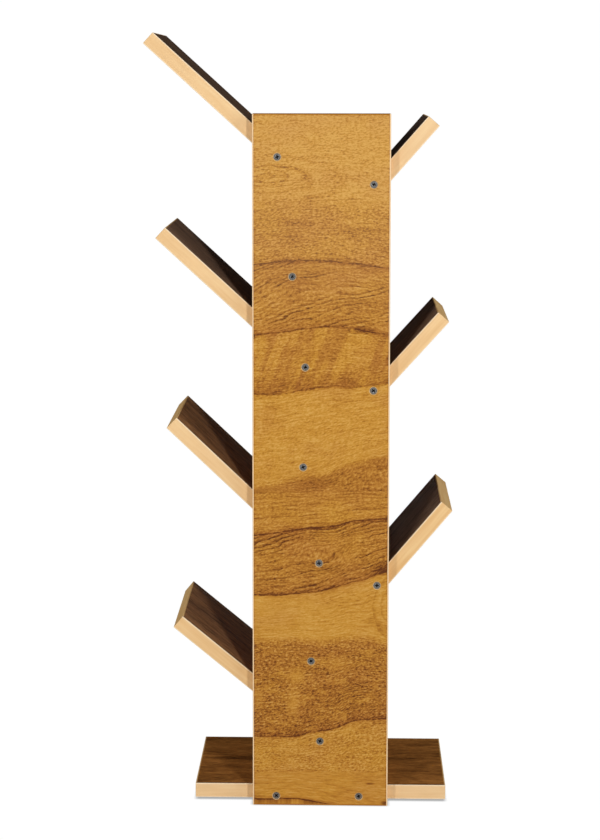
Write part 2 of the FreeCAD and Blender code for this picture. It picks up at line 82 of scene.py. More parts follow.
# A spot's change fades out from its middle to its half width and half height.
Spot = namedtuple("Spot", "across height half_width half_height change")
SPOT_REACH = 4.0
NOISE_MIDDLE = (0.3, 0.7)

# The panel's print. Lengths are in millimetres on the rear face: across from its middle, height
# from the floor. A zone runs down from its seam to the next one.
PANEL_LOW, PANEL_HIGH = (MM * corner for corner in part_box("back_panel"))
Zone = namedtuple("Zone", "tone red rings lean swirl mottle speckle ripple")
Seam = namedtuple("Seam", "points blur line width shade")
CROWN = Zone(0.185, 0.15, 0.05, 0.0, 0.5, 0.2, 0.85, 0.0)
SEAMS_AND_ZONES = (
    (Seam(((-83, 743.5), (-46, 747.1), (-4, 749.4), (39, 748), (83, 745.5)), 10, 0.0, 1.0, 0.0),
     Zone(0.375, 0.40, 0.20, 0.0, 0.4, 0.4, 1.00, 0.0)),
    (Seam(((-83, 669.4), (-46, 674.6), (-10, 678.1), (18, 678.8), (51, 677.3), (83, 673.3)),
          1.6, 0.44, 1.5, 0.10),
     Zone(0.325, 0.45, 0.95, -0.30, 0.4, 0.3, 0.75, 0.0)),
    (Seam(((-83, 588.5), (-53, 593.2), (-28, 597.4), (0, 597.6), (41, 592.2), (83, 587.8)),
          1.6, 0.40, 1.6, -0.08),
     Zone(0.39, 0.30, 0.0, 0.0, 0.1, 0.2, 0.70, 1.0)),
    (Seam(((-83, 529.1), (-47, 525.1), (-4, 524.5), (24, 520.1), (48, 515.7), (83, 515.5)),
          3.5, 0.26, 2.2, -0.10),
     Zone(0.265, 0.08, 0.0, 0.0, 0.1, 0.1, 0.52, 0.30)),
    (Seam(((-83, 438.9), (-38, 429.3), (1, 413.4), (43, 405.3), (83, 398.5)), 7.0, 0.05, 2.5, 0.06),
     Zone(0.47, 0.55, 0.25, 0.0, 0.2, 0.3, 0.75, 0.0)),
    (Seam(((-83, 397), (-46, 396.2), (-4, 395.3), (39, 394.4), (83, 393.5)), 5.0, 0.06, 1.5, 0.0),
     Zone(0.36, 0.30, 0.50, 0.0, 0.1, 0.2, 0.65, 0.0)),
    (Seam(((-83, 362.4), (-60, 360.8), (-32, 357.4), (-21, 353.8), (6, 350.8), (21, 349),
           (52, 344.6), (83, 340.2)), 1.6, 0.55, 1.5, 0.05),
     Zone(0.41, 0.50, 1.05, -0.10, 0.3, 0.25, 0.80, 0.0)),
    (Seam(((-83, 296.2), (-65, 291.5), (-54, 286.1), (-37, 282.5), (-15, 275.5), (-3, 271.9),
           (20, 269.5), (43, 266.5), (83, 266.2)), 1.2, 0.50, 1.6, -0.08),
     Zone(0.24, 0.05, 0.05, 0.0, 0.4, 0.1, 0.35, 0.0)),
    (Seam(((-83, 205.3), (-47, 211.3), (-4, 207.2), (39, 209.4), (83, 206.5)), 8.0, 0.0, 2.0, 0.0),
     Zone(0.54, 0.70, 0.15, 0.0, 0.6, 0.8, 1.20, 0.0)),
    (Seam(((-83, 111.2), (-59, 110), (-37, 107.3), (-28, 102.5), (-9, 96.4), (8, 93.9), (24, 89.6),
           (36, 87.2), (57, 87.5), (83, 87.4)), 2.5, 0.45, 1.7, -0.06),
     Zone(0.31, 0.25, 0.30, 0.0, 0.5, 0.3, 0.85, 0.0)),
    (Seam(((-83, 44.9), (-47, 42), (-4, 42.9), (39, 42.5), (83, 40.8)), 2.0, 0.05, 1.2, 0.0),
     Zone(0.31, 0.20, 0.0, 0.0, 0.2, 0.1, 0.12, 0.0)),
    (Seam(((-83, -13.7), (-29, -2.8), (-6, 2.3), (8, 4.6), (20, 6.9), (31, 8.6), (42, 8.5),
           (71, 7.1), (83, 8.1)), 1.2, 0.55, 1.6, 0.0),
     Zone(0.40, 0.30, 0.1, 0.0, 0.1, 0.3, 0.40, 0.0)),
)
# The seams' curves span this height, from this far below the floor.
CURVE_FLOOR, CURVE_SPAN = 20.0, 900.0
# A seam's line lies in a soft shade, this many times as wide and with this share of its depth.
SHADE_WIDTHS, SHADE_SHARE = 4.0, 0.3
# The shade on one side of a seam starts across this edge and fades over this reach.
SHADE_EDGE, SHADE_REACH = 1.0, 26.0

# Eyes lift the grain lines around them.
EYES = (
    Spot(5.8, 331, 26, 17, 6.5),
    Spot(-36, 328, 24, 15, 5.5),
    Spot(-8, 306, 30, 12, -4.0),
    Spot(41, 650, 40, 20, 8.0),
)
EYE_RIM = 1.4
# Cathedrals are nests of arched grain lines.
CATHEDRALS = (
    Spot(70, 780, 36, 8.5, 0.24),
    Spot(62, 776, 60, 19, 0.17),
    Spot(-88, 250, 16, 26, 0.17),
    Spot(-30, 262, 22, 6, 0.16),
)
ARCH_DRIFT, ARCH_WANDER, ARCH_COUNT = 1.2, 0.5, 1.7
ARCH_LINE, ARCH_RIM = (0.5, 0.97), (1.6, 2.1)
# Blotches are pale and calm, and spots are dark.
BLOTCHES = (
    Spot(29, 165, 15, 12, 0.8),
    Spot(33, 130, 9, 26, 0.8),
    Spot(-23, 180, 17, 12, 0.6),
    Spot(78, 135, 10, 17, 0.8),
)
BLOTCH_CLOUDS, BLOTCH_RIM, BLOTCH_CALM = (0.46, 0.72), (0.7, 1.9), -0.7
SPOTS = (
    Spot(-50, 593.0, 20, 4.2, 0.36),
    Spot(-76, 301, 12, 10, 0.32),
    Spot(-61, 27.8, 6, 1.3, 0.50),
    Spot(-80, 3, 4.5, 4.5, 0.60),
    Spot(-62, 235, 5, 6, 0.14),
    Spot(-72, 228, 9, 24, 0.12),
    Spot(24, 724, 30, 6, 0.16),
    Spot(-50, 714, 40, 6, 0.15),
    Spot(52, 709, 30, 6, 0.12),
    Spot(-56, 622, 34, 14, 0.12),
    Spot(30, 655, 46, 14, 0.12),
    Spot(6, 408, 34, 9, 0.14),
    Spot(25, 530, 40, 12, 0.12),
    Spot(20, 560, 24, 18, 0.06),
    Spot(5.8, 333, 2.4, 2.0, 0.24),
    Spot(-36, 330, 2.0, 2.0, 0.20),
    Spot(0, 300, 46, 12, 0.09),
    Spot(-30, 140, 40, 22, 0.10),
)
SPOT_RIM, SPOT_FRAY = (0.6, 1.9), 1.1

# Grain of the panel's print. The reaches say how far a noise pushes the seams and the grain lines.
HONEY_WANDER, WANDER_REACH = Noise((0.045, 0.03, 0.0), 3.0), 2.4
HONEY_JITTER, JITTER_REACH = Noise((0.16, 0.10, 0.0), 3.0, 0.6), 1.4
HONEY_BROAD = Noise((0.016, 0.09, 0.0), 4.0, 0.6)
HONEY_STREAK = Noise((0.045, 0.42, 0.0), 3.0, 0.6)
HONEY_DASH = Noise((0.10, 0.66, 0.0), 2.0, 0.6)
HONEY_CLOUD = Noise((0.05, 0.085, 0.0), 4.0, 0.62, 0.6)
HONEY_DRIFT = Noise((0.014, 0.024, 0.0))
HONEY_SPECKLE = Noise((0.28, 0.54, 0.0), 3.0, 0.65)
SPECKLE_LEAN, SPECKLE_MIDDLE = -0.12, (0.32, 0.68)
HONEY_FLAME = Noise((0.088, 0.011, 0.0), 2.0, 0.5, 0.4)
FLAME_SLANT, FLAME_MIDDLE = 0.36, (0.36, 0.64)
RING_WIDTH, RING_BEND, SWIRL_REACH = 5.4, 10.0, 60.0
RING_LATE_WOOD, RING_LEAST = (0.35, 0.95), 0.25
RING_PATCHES, PATCH_EDGES, PATCH_LEAST = Noise((0.02, 0.035, 0.0)), (0.34, 0.62), 0.15
LINE_STRENGTH = (0.55, 1.15)

# How much each layer darkens and reddens the panel's print, and where its colours lie on that
# darkness.
DARK_BROAD, DARK_STREAK, DARK_DASH, DARK_SPECKLE = 0.42, 0.34, 0.27, 0.88
DARK_RINGS, DARK_BLOTCH, DARK_FLAME = 0.68, -0.29, 0.085
RED_DRIFT, RED_SHADE, RED_FLAME, RED_BLOTCH = 1.6, 2.4, 0.3, -0.5
HONEY_STEPS = (0.0, 0.3, 0.6, 1.0)
CROWN_FADE, CROWN_CREAM = (560.0, 720.0), 0.07
# Painted shade of the arris along the panel's top and side edges, where its face meets its bands:
# its width in millimetres and its darkness.
EDGE_SHADE_WIDTH, EDGE_SHADE_DARKNESS = 2.2, 0.22
PRINT_THICKNESS = 0.1
HONEY_GLOSS, HONEY_ROUGHNESS, HONEY_BUMP = 0.07, (0.44, 0.60), Bump(0.10, 0.0001)

# The walnut boards come from one roll of print, each cut further along it, and differ a little in
# depth, greyness and gloss, and in how pale their bands are. The depth, greyness and band paleness
# are
# painted light and shade: one walnut and one cream, lighter or darker as light falls on each board.
Board = namedtuple("Board", "depth grey gloss band")
BASE_LIT_TONE = Board(1.30, -0.07, 0.0, 0.10)
SHELF_LIT_TONES = (
    Board(0.55, 0.36, 0.20, 0.02),
    Board(0.50, 0.46, 0.20, 0.10),
    Board(1.10, 0.36, 0.50, 0.0),
    Board(0.95, 0.34, 0.40, -0.05),
    Board(1.15, 0.10, 0.12, 0.0),
    Board(0.70, 0.36, 0.14, -0.20),
    Board(1.20, 0.12, 0.05, -0.10),
)
BASE_STREAKS = (
    Spot(96, -104, 62, 9, 0.42),
    Spot(-100, -108, 70, 8, 0.40),
    Spot(88, -40, 40, 14, 0.16),
    Spot(-90, -62, 60, 9, 0.20),
)
BASE_STREAK_RIM, BASE_STREAK_FRAY = (0.7, 1.9), 1.4
BOARD_SHIFT = 611.0
STEEPEST, SLOPE_STEPS = 60.0, 12001
WALNUT_BEND, BEND_REACH = Noise((0.006, 0.02, 0.0)), 30.0
WALNUT_BROAD = Noise((0.009, 0.045, 0.0), 4.0, 0.6)
WALNUT_STREAK = Noise((0.022, 0.16, 0.0), 4.0, 0.65)
WALNUT_FLECK = Noise((0.09, 0.30, 0.0), 3.0, 0.7)
WALNUT_PORES, PORE_EDGES, PORE_DEPTH = Noise((0.12, 1.6, 0.0), 2.0, 0.6), (0.56, 0.74), -0.8
WALNUT_START = -1.07
WALNUT_DEPTHS = {"streak": 0.8, "broad": 1.2, "fleck": 1.1, "pores": 0.10}
WALNUT_STEPS = (0.1, 0.5, 0.9)
REAR_LINE, REAR_DARKNESS = (5.0, 1.0), 0.30
STREAK_MIDDLE = (0.2, 0.8)
WALNUT_ROUGHNESS, WALNUT_BUMP = (0.72, 0.86), Bump(0.12, 0.00015)

# Edge bands. The painted highlight along a band's long edges starts and is full at these distances
# from the band's edge.
BAND_BROAD, BAND_STREAK, BROAD_SHARE = Noise((0.012, 0.12, 0.12)), Noise((0.02, 0.45, 0.45)), 0.7
BAND_STEPS = (0.3, 0.5, 0.72)
BAND_ROUGHNESS, BAND_BUMP = (0.42, 0.56), Bump(0.06, 0.0001)
ARRIS_HIGHLIGHT_START, ARRIS_HIGHLIGHT_FULL = 1.7, 1.7 / 3
# The panel's upright bands are the same cream, mixed this share towards the highlight tone: a
# painted highlight where their rounded corners catch the light.
UPRIGHT_HIGHLIGHT_SHARE = 0.40

ZINC_CLOUD, ZINC_MARKS = Noise((0.5, 0.5, 0.5), 3.0), Noise((4.0, 4.0, 4.0))
ZINC_SHADE = (0.15, 0.9)
ZINC_ROUGHNESS, ZINC_BUMP = (0.28, 0.42), Bump(0.15, 0.00005)

FOAM_PORES = Noise((2.2, 2.2, 2.2), 5.0, 0.75)
FOAM_GLOSS, FOAM_ROUGHNESS, FOAM_BUMP = 0.1, (0.85, 1.0), Bump(0.6, 0.0004)

# A screw's rings. The head's radii and its rim's drops are shares of the head's radius, the neck's
# radius is a share of the shank's, and the neck's length one of the thread's pitch. Each screw of a
# set stops a little further round than the one before.
QUARTER_TURN = (-45, -36, -27, -21, -17, -9, 0, 9, 17, 21, 27, 36)
TOP_SHARES = (0.06, 0.12, 0.18, 0.26, 0.34, 0.42, 0.48, 0.54, 0.58, 0.68, 0.80)
RIM_SHARES = (0.88, 0.94, 0.98, 1.0, 0.97)
RIM_DROP_SHARES = (0.0, 0.004, 0.02, 0.055, 0.10)
NECK_SHARE, NECK_LENGTH_SHARE = 0.72, 0.5
POINT_SHARES = (0.25, 0.5, 0.75, 0.93)
RINGS_PER_TURN = 5
THREAD_ROOT_SHARE, THREAD_SHARPNESS = 0.70, 4.0
RECESS_WALL, RECESS_END = 0.00028, 0.0010
RIM_SHADE_SHARES, RIM_SHADE, RECESS_SHADE, POINT_SHADE = (0.80, 0.95), 0.75, 1.0, 0.0
SCREW_SPIN = math.radians(37.0)
SHARP_ANGLE = math.radians(38.0)
POINT_DIGITS, HEAD_FLATNESS = 6, 1e-5

FLOOR_RINGS, FLOOR_SPOKES = 24, 96
FLOOR_GRAIN, FLOOR_STEPS = Noise((0.01, 0.01, 0.01)), (0.0, 1.0)
FLOOR_TONES, FLOOR_ROUGHNESS = ((0.80, 0.80, 0.80), (0.82, 0.82, 0.82)), 0.9
CONTACT_SAMPLES = 16
WHITE, BLACK = (1.0, 1.0, 1.0, 1.0), (0.0, 0.0, 0.0, 1.0)
SENSOR_WIDTH = 36.0


class Finish:
    """One procedural material, and short ways to add the nodes of its pattern."""

    def __init__(self, name, **uniform):
        self.material = bpy.data.materials.new(name)
        self.material.use_nodes = True
        self.tree = self.material.node_tree
        self.shader = self.tree.nodes["Principled BSDF"]
        for socket, value in uniform.items():
            self.shader.inputs[socket.replace("_", " ")].default_value = value

    def give(self, socket, source):
        """Joins a socket to another one, or sets its value."""
        if isinstance(source, bpy.types.NodeSocket):
            self.tree.links.new(source, socket)
        elif source is not None:
            socket.default_value = source

    def node(self, kind, *sources, **settings):
        """Adds a node, with its inputs given in order, and returns its first output."""
        node = self.tree.nodes.new(f"ShaderNode{kind}")
        for name, value in settings.items():
            setattr(node, name, value)
        for socket, source in zip(node.inputs, sources):
            self.give(socket, source)
        return node.outputs[0]

    def math(self, operation, *sources):
        """The result of one sum."""
        return self.node("Math", *sources, operation=operation)

    def times(self, first, second):
        """Two values multiplied."""
        return self.math("MULTIPLY", first, second)

    def plus(self, start, value, weight):
        """A start with a weighted value added to it."""
        return self.math("MULTIPLY_ADD", value, weight, start)

    def spread(self, value, low, high, to_low=0.0, to_high=1.0, smooth=True):
        """The value carried from low..high to to_low..to_high, and held at those ends."""
        kind = "SMOOTHSTEP" if smooth else "LINEAR"
        return self.node("MapRange", value, low, high, to_low, to_high, interpolation_type=kind)

    def centred(self, value, low, high):
        """The value carried straight from low..high to -0.5..0.5."""
        return self.spread(value, low, high, -0.5, 0.5, False)

    def place(self):
        """Object coordinates in millimetres."""
        source = self.tree.nodes.new("ShaderNodeTexCoord").outputs["Object"]
        return self.stretch(source, (MM, MM, MM))

    def stretch(self, place, scales):
        """A place scaled along each axis."""
        return self.node("VectorMath", place, scales, operation="MULTIPLY")

    def split(self, place):
        """A place's X, Y and Z."""
        return self.node("SeparateXYZ", place).node.outputs

    def noise(self, place, noise):
        """Soft noise from 0 to 1 at a place in millimetres."""
        node = self.tree.nodes.new("ShaderNodeTexNoise")
        self.give(node.inputs["Vector"], self.stretch(place, noise.scale))
        for name, value in (("Scale", 1.0), ("Detail", noise.detail),
                            ("Roughness", noise.roughness), ("Distortion", noise.warp)):
            node.inputs[name].default_value = value
        return node.outputs["Fac"]

    def curve(self, share, points):
        """A smooth curve through points whose two coordinates lie between 0 and 1."""
        node = self.tree.nodes.new("ShaderNodeFloatCurve")
        line = node.mapping.curves[0]
        line.points[0].location, line.points[1].location = points[0], points[-1]
        for point in points[1:-1]:
            line.points.new(*point)
        node.mapping.update()
        self.give(node.inputs["Value"], share)
        return node.outputs[0]

    def ramp(self, value, steps, colours):
        """Colours along a value, each at its own step."""
        node = self.tree.nodes.new("ShaderNodeValToRGB")
        elements = node.color_ramp.elements
        elements[0].position, elements[1].position = steps[0], steps[-1]
        for step in steps[1:-1]:
            elements.new(step)
        for element, colour in zip(elements, colours):
            element.color = (*colour, 1.0)
        self.give(node.inputs["Fac"], value)
        return node.outputs["Color"]

    def choose(self, share, first, second):
        """The first colour, or the second one where the share is 1."""
        node = self.tree.nodes.new("ShaderNodeMix")
        node.data_type = "RGBA"
        for name, source in (("Factor_Float", share), ("A_Color", first), ("B_Color", second)):
            self.give(next(socket for socket in node.inputs if socket.identifier == name), source)
        return next(socket for socket in node.outputs if socket.identifier == "Result_Color")

    def spot(self, across, height, spot):
        """Distance from a spot's middle, counted in its half widths and half heights."""
        shares = []
        for value, middle, half in ((across, spot.across, spot.half_width),
                                    (height, spot.height, spot.half_height)):
            reach = half * SPOT_REACH
            shares.append(
                self.spread(value, middle - reach, middle + reach, -SPOT_REACH, SPOT_REACH, False))
        both = self.node("CombineXYZ", *shares)
        return self.node("VectorMath", both, operation="LENGTH").node.outputs["Value"]

    def openness(self, distance):
        """1 in the open, down to 0 where something nearer than the distance closes a place in."""
        node = self.tree.nodes.new("ShaderNodeAmbientOcclusion")
        node.samples = CONTACT_SAMPLES
        node.inputs["Distance"].default_value = distance
        return node.outputs["AO"]

    def seen(self):
        """1 where the picture shows the surface itself, and 0 for the light that it gives."""
        return self.tree.nodes.new("ShaderNodeLightPath").outputs["Is Camera Ray"]

    def surface(self, colour, roughness=None, height=None, bump=None):
        """Joins a colour, a roughness and a bump to the shader."""
        self.give(self.shader.inputs["Base Color"], colour)
        self.give(self.shader.inputs["Roughness"], roughness)
        if bump is not None:
            node = self.tree.nodes.new("ShaderNodeBump")
            node.inputs["Strength"].default_value = bump.strength
            node.inputs["Distance"].default_value = bump.height
            self.give(node.inputs["Height"], height)
            self.give(self.shader.inputs["Normal"], node.outputs["Normal"])
        return self.material


def seam_points(points):
    """A seam's points as shares of the panel's width and of the curves' span."""
    width = PANEL_HIGH.x - PANEL_LOW.x
    shares = [((x - PANEL_LOW.x) / width, (z + CURVE_FLOOR) / CURVE_SPAN) for x, z in points]
    return [(min(max(x, 0.0), 1.0), z) for x, z in shares]


def plank_zones(add, across, height, ground):
    """Zone values at a place, the dark lines and soft shades of the seams, and a grain height.

    The grain height runs evenly from seam to seam, so that grain lines follow both.
    """
    share = add.spread(across, PANEL_LOW.x, PANEL_HIGH.x, smooth=False)
    values = CROWN._asdict()
    level, lines, shades = 0.0, 0.0, 0.0
    before, upper, upper_middle = CROWN, PANEL_HIGH.z, PANEL_HIGH.z
    for seam, zone in SEAMS_AND_ZONES:
        curve = add.curve(share, seam_points(seam.points))
        seam_height = add.plus(-CURVE_FLOOR, curve, CURVE_SPAN)
        below = add.math("SUBTRACT", seam_height, height)
        step = add.spread(below, -seam.blur, seam.blur)
        for name, value in values.items():
            change = getattr(zone, name) - getattr(before, name)
            if change:
                values[name] = add.plus(value, step, change)
        if seam.line:
            away = add.math("ABSOLUTE", below)
            line = add.spread(away, 0.0, seam.width, seam.line, 0.0)
            lines = add.math("MAXIMUM", lines, line)
            shade = add.spread(away, 0.0, seam.width * SHADE_WIDTHS, seam.line * SHADE_SHARE, 0.0)
            shades = add.math("MAXIMUM", shades, shade)
        if seam.shade:
            side = add.times(below, math.copysign(1.0, seam.shade))
            fade = add.spread(side, 0.0, SHADE_REACH, abs(seam.shade), 0.0)
            shades = add.plus(shades, fade, add.spread(side, -SHADE_EDGE, SHADE_EDGE))
        middle = float(np.mean([point[1] for point in seam.points]))
        rise = add.spread(ground, upper, seam_height, 0.0, upper_middle - middle, False)
        level = add.math("ADD", level, rise)
        before, upper, upper_middle = zone, seam_height, middle
    return Zone(**values), lines, shades, level


def grain_rings(add, zone, across, flat, level, broad, drift):
    """Growth rings: dark at the end of each turn, and fainter on some turns and in some patches."""
    wave = add.plus(level, add.times(drift, zone.swirl), SWIRL_REACH)
    wave = add.plus(add.plus(wave, broad, RING_BEND), across, zone.lean)
    turns = add.times(wave, 1.0 / RING_WIDTH)
    late = add.spread(add.math("FRACT", turns), *RING_LATE_WOOD)
    share = add.node("TexWhiteNoise", None, add.math("FLOOR", turns), noise_dimensions="1D")
    strength = add.plus(RING_LEAST, share, 1.0 - RING_LEAST)
    patches = add.spread(add.noise(flat, RING_PATCHES), *PATCH_EDGES, PATCH_LEAST, 1.0)
    return add.times(add.times(late, add.times(patches, strength)), zone.rings)


def honey_print(colours):
    """The panel's printed face: plank zones parted by dark seams, with grain lines along the seams.

    Zone tone, seams, rings, streaks, speckle, ripple and spots add up to one darkness, which picks
    a golden and a russet colour. The zone's redness mixes the two. The front face carries the same
    print end for end, and the holes between the two faces show the board's core.
    """
    add = Finish("honey_oak_print", Specular_IOR_Level=HONEY_GLOSS)
    x, y, z = add.split(add.place())
    rear = add.math("GREATER_THAN", y, 0.0)
    facing = add.plus(-1.0, rear, 2.0)
    across = add.times(x, facing)
    height = add.plus(add.plus(PANEL_HIGH.z, rear, -PANEL_HIGH.z), z, facing)
    flat = add.node("CombineXYZ", across, height)
    wander = add.noise(flat, HONEY_WANDER)
    jitter = add.noise(flat, HONEY_JITTER)
    bent = add.math("SUBTRACT", height, (WANDER_REACH + JITTER_REACH) / 2)
    bent = add.plus(add.plus(bent, wander, WANDER_REACH), jitter, JITTER_REACH)
    ground = bent
    for eye in EYES:
        lift = add.spread(add.spot(across, bent, eye), 0.0, EYE_RIM, -eye.change, 0.0)
        ground = add.math("ADD", ground, lift)
    zone, lines, shades, level = plank_zones(add, across, bent, ground)

    grain = add.node("CombineXYZ", across, level)
    broad = add.noise(grain, HONEY_BROAD)
    streak = add.centred(add.noise(grain, HONEY_STREAK), *NOISE_MIDDLE)
    dash = add.centred(add.noise(grain, HONEY_DASH), *NOISE_MIDDLE)
    cloud = add.noise(flat, HONEY_CLOUD)
    blotch = add.times(add.spread(cloud, *BLOTCH_CLOUDS), zone.mottle)
    for spot in BLOTCHES:
        away = add.plus(add.spot(across, height, spot), cloud, SPOT_FRAY)
        blotch = add.math("MAXIMUM", blotch, add.spread(away, *BLOTCH_RIM, spot.change, 0.0))
    leaning = add.node("CombineXYZ", across, add.plus(level, across, SPECKLE_LEAN))
    speckle = add.centred(add.noise(leaning, HONEY_SPECKLE), *SPECKLE_MIDDLE)
    fine = add.times(zone.speckle, add.plus(1.0, blotch, BLOTCH_CALM))
    drift = add.math("SUBTRACT", add.noise(flat, HONEY_DRIFT), 0.5)
    rings = grain_rings(add, zone, across, flat, level, broad, drift)
    swing = add.node("CombineXYZ", add.plus(across, height, FLAME_SLANT), height)
    flame = add.spread(add.noise(swing, HONEY_FLAME), *FLAME_MIDDLE, -1.0, 1.0)
    ripple = add.times(flame, zone.ripple)

    dark = add.math("ADD", zone.tone, shades)
    dark = add.plus(dark, lines, add.spread(jitter, *NOISE_MIDDLE, *LINE_STRENGTH))
    for layer, weight in (
            (add.math("SUBTRACT", broad, 0.5), DARK_BROAD), (streak, DARK_STREAK),
            (dash, DARK_DASH), (add.times(speckle, fine), DARK_SPECKLE), (rings, DARK_RINGS),
            (blotch, DARK_BLOTCH), (ripple, DARK_FLAME)):
        dark = add.plus(dark, layer, weight)
    for spot in CATHEDRALS:
        away = add.plus(add.spot(across, height, spot), drift, ARCH_DRIFT)
        away = add.plus(away, wander, ARCH_WANDER)
        peak = add.math("FRACT", add.times(away, ARCH_COUNT))
        inside = add.spread(away, *ARCH_RIM, 1.0, 0.0)
        dark = add.plus(dark, add.spread(peak, *ARCH_LINE, 0.0, spot.change), inside)
    for spot in SPOTS:
        away = add.plus(add.spot(across, height, spot), cloud, SPOT_FRAY)
        dark = add.math("ADD", dark, add.spread(away, *SPOT_RIM, spot.change, 0.0))
    # Painted shade of the arris along the panel's top and side edges.
    edge_shades = [add.spread(value, edge - EDGE_SHADE_WIDTH, edge, 0.0, EDGE_SHADE_DARKNESS)
              for value, edge in ((add.math("ABSOLUTE", across), PANEL_HIGH.x), (z, PANEL_HIGH.z))]
    dark = add.math("ADD", dark, add.math("MAXIMUM", *edge_shades))
    red = add.plus(zone.red, drift, RED_DRIFT)
    for layer, weight in ((shades, RED_SHADE), (ripple, RED_FLAME), (blotch, RED_BLOTCH)):
        red = add.plus(red, layer, weight)

    golden = add.ramp(dark, HONEY_STEPS, (
        colours.honey_light, colours.honey, colours.honey_brown, colours.seam_brown))
    russet = add.ramp(dark, HONEY_STEPS, (
        colours.russet_light, colours.russet, colours.russet_brown, colours.seam_brown))
    printed = add.choose(add.spread(red, 0.0, 1.0, smooth=False), golden, russet)
    paler = add.spread(height, *CROWN_FADE, 0.0, CROWN_CREAM)
    printed = add.choose(paler, printed, (*colours.cream, 1.0))
    core = add.ramp(cloud, NOISE_MIDDLE, (colours.core, colours.core_dark))
    inside = add.math("LESS_THAN", add.math("ABSOLUTE", y), PANEL_HIGH.y - PRINT_THICKNESS)
    rough = add.spread(streak, -0.5, 0.5, *HONEY_ROUGHNESS)
    relief = add.math("ADD", speckle, streak)
    return add.surface(add.choose(inside, printed, core), rough, relief, HONEY_BUMP)


def walnut_print(name, angle, shift, board, rear_edge, colours, streaks=()):
    """A board's printed face: streaks and flecks along the board, dark along its rear edge.

    The angle turns the print to the board's slope, and the shift moves it along the roll.
    """
    add = Finish(name, Specular_IOR_Level=board.gloss)
    place = add.place()
    x, y, _ = add.split(place)
    turn = (0.0, angle, 0.0)
    along = add.node("Mapping", place, (shift, 0.0, 0.0), turn, vector_type="TEXTURE")
    bend = add.node("CombineXYZ", 0.0, add.times(add.noise(along, WALNUT_BEND), BEND_REACH))
    bent = add.node("VectorMath", along, bend, operation="ADD")
    layers = {
        "streak": add.noise(bent, WALNUT_STREAK),
        "broad": add.noise(bent, WALNUT_BROAD),
        "fleck": add.noise(bent, WALNUT_FLECK),
        "pores": add.spread(add.noise(bent, WALNUT_PORES), *PORE_EDGES),
    }
    dark = WALNUT_START
    for layer, value in layers.items():
        dark = add.plus(dark, value, WALNUT_DEPTHS[layer])
    streak = layers["streak"]
    for spot in streaks:
        away = add.plus(add.spot(x, y, spot), streak, BASE_STREAK_FRAY)
        dark = add.math("ADD", dark, add.spread(away, *BASE_STREAK_RIM, spot.change, 0.0))
    line = add.spread(y, *(rear_edge - distance for distance in REAR_LINE), 0.0, REAR_DARKNESS)
    dark = add.math("ADD", dark, line)
    # Painted light and shade: the board's depth and greyness scale and grey the walnut as light
    # falls on that board.
    tones = (board.depth * (tone + board.grey * (tone.mean() - tone))
             for tone in map(np.array, (colours.walnut_light, colours.walnut, colours.walnut_dark)))
    colour = add.ramp(dark, WALNUT_STEPS, tones)
    rough = add.spread(streak, *STREAK_MIDDLE, *WALNUT_ROUGHNESS)
    return add.surface(colour, rough, add.plus(streak, layers["pores"], PORE_DEPTH), WALNUT_BUMP)


def edge_band(name, turn, tones, arris_highlight, nodes=(), paler=0.0):
    """Edge band: plain wood tones with faint lines along the band, which the turn brings to X.

    The tones are mixed with the highlight tone by a share: painted light that makes a band paler,
    or darker where the share is below 0.
    Bands that are named also get a painted highlight in that tone along both their long edges.
    """
    add = Finish(name, Specular_IOR_Level=0.0)
    along = add.node("Mapping", add.place(), (0.0, 0.0, 0.0), turn, vector_type="TEXTURE")
    streak = add.noise(along, BAND_STREAK)
    tone = add.times(streak, 1.0 - BROAD_SHARE)
    tone = add.plus(tone, add.noise(along, BAND_BROAD), BROAD_SHARE)
    # Painted light: the band's tones mixed towards the highlight tone by the share.
    mixed = (plain + paler * (np.array(arris_highlight) - plain) for plain in map(np.array, tones))
    colour = add.ramp(tone, BAND_STEPS, mixed)
    # Painted highlight: a line of the highlight tone along the band's long edges, where the rounded
    # edge catches the light.
    if nodes:
        points = np.concatenate([node_points(node) for node in nodes])
        heights = MM * (points @ np.array(Euler(turn).to_matrix()))[:, 2]
        low, high = heights.min(), heights.max()
        middle, half = (high + low) / 2, (high - low) / 2
        away = add.math("ABSOLUTE", add.math("SUBTRACT", add.split(along)[2], middle))
        edge = add.spread(away, half - ARRIS_HIGHLIGHT_START, half - ARRIS_HIGHLIGHT_FULL)
        colour = add.choose(edge, colour, (*arris_highlight, 1.0))
    rough = add.spread(streak, *STREAK_MIDDLE, *BAND_ROUGHNESS)
    return add.surface(colour, rough, streak, BAND_BUMP)


def zinc(colours):
    """Zinc-plated screw: metal with a faint cloud and fine turning marks, with painted shade in its
    cross recess and round its rim.
    """
    add = Finish("zinc_plate", Metallic=1.0)
    place = add.place()
    cloud = add.noise(place, ZINC_CLOUD)
    plate = add.ramp(cloud, NOISE_MIDDLE, (colours.zinc, colours.zinc_blue))
    # Painted shade: full in the cross recess and falling off inwards from the rim.
    shade = add.node("Attribute", attribute_name="shade").node.outputs["Fac"]
    colour = add.choose(add.spread(shade, *ZINC_SHADE), plate, (*colours.zinc_painted_shade, 1.0))
    rough = add.spread(cloud, *NOISE_MIDDLE, *ZINC_ROUGHNESS)
    return add.surface(colour, rough, add.noise(place, ZINC_MARKS), ZINC_BUMP)


def foam(colours):
    """Foam rubber: matte dark grey, with fine pores."""
    add = Finish("dark_foam_rubber", Specular_IOR_Level=FOAM_GLOSS)
    pores = add.noise(add.place(), FOAM_PORES)
    colour = add.ramp(pores, NOISE_MIDDLE, (colours.foam_dark, colours.foam))
    rough = add.spread(pores, *NOISE_MIDDLE, *FOAM_ROUGHNESS)
    return add.surface(colour, rough, pores, FOAM_BUMP)


def dress(node, material):
    """Gives a CAD node one material on all its slots."""
    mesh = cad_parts[node].data
    mesh.materials.clear()
    mesh.materials.append(material)


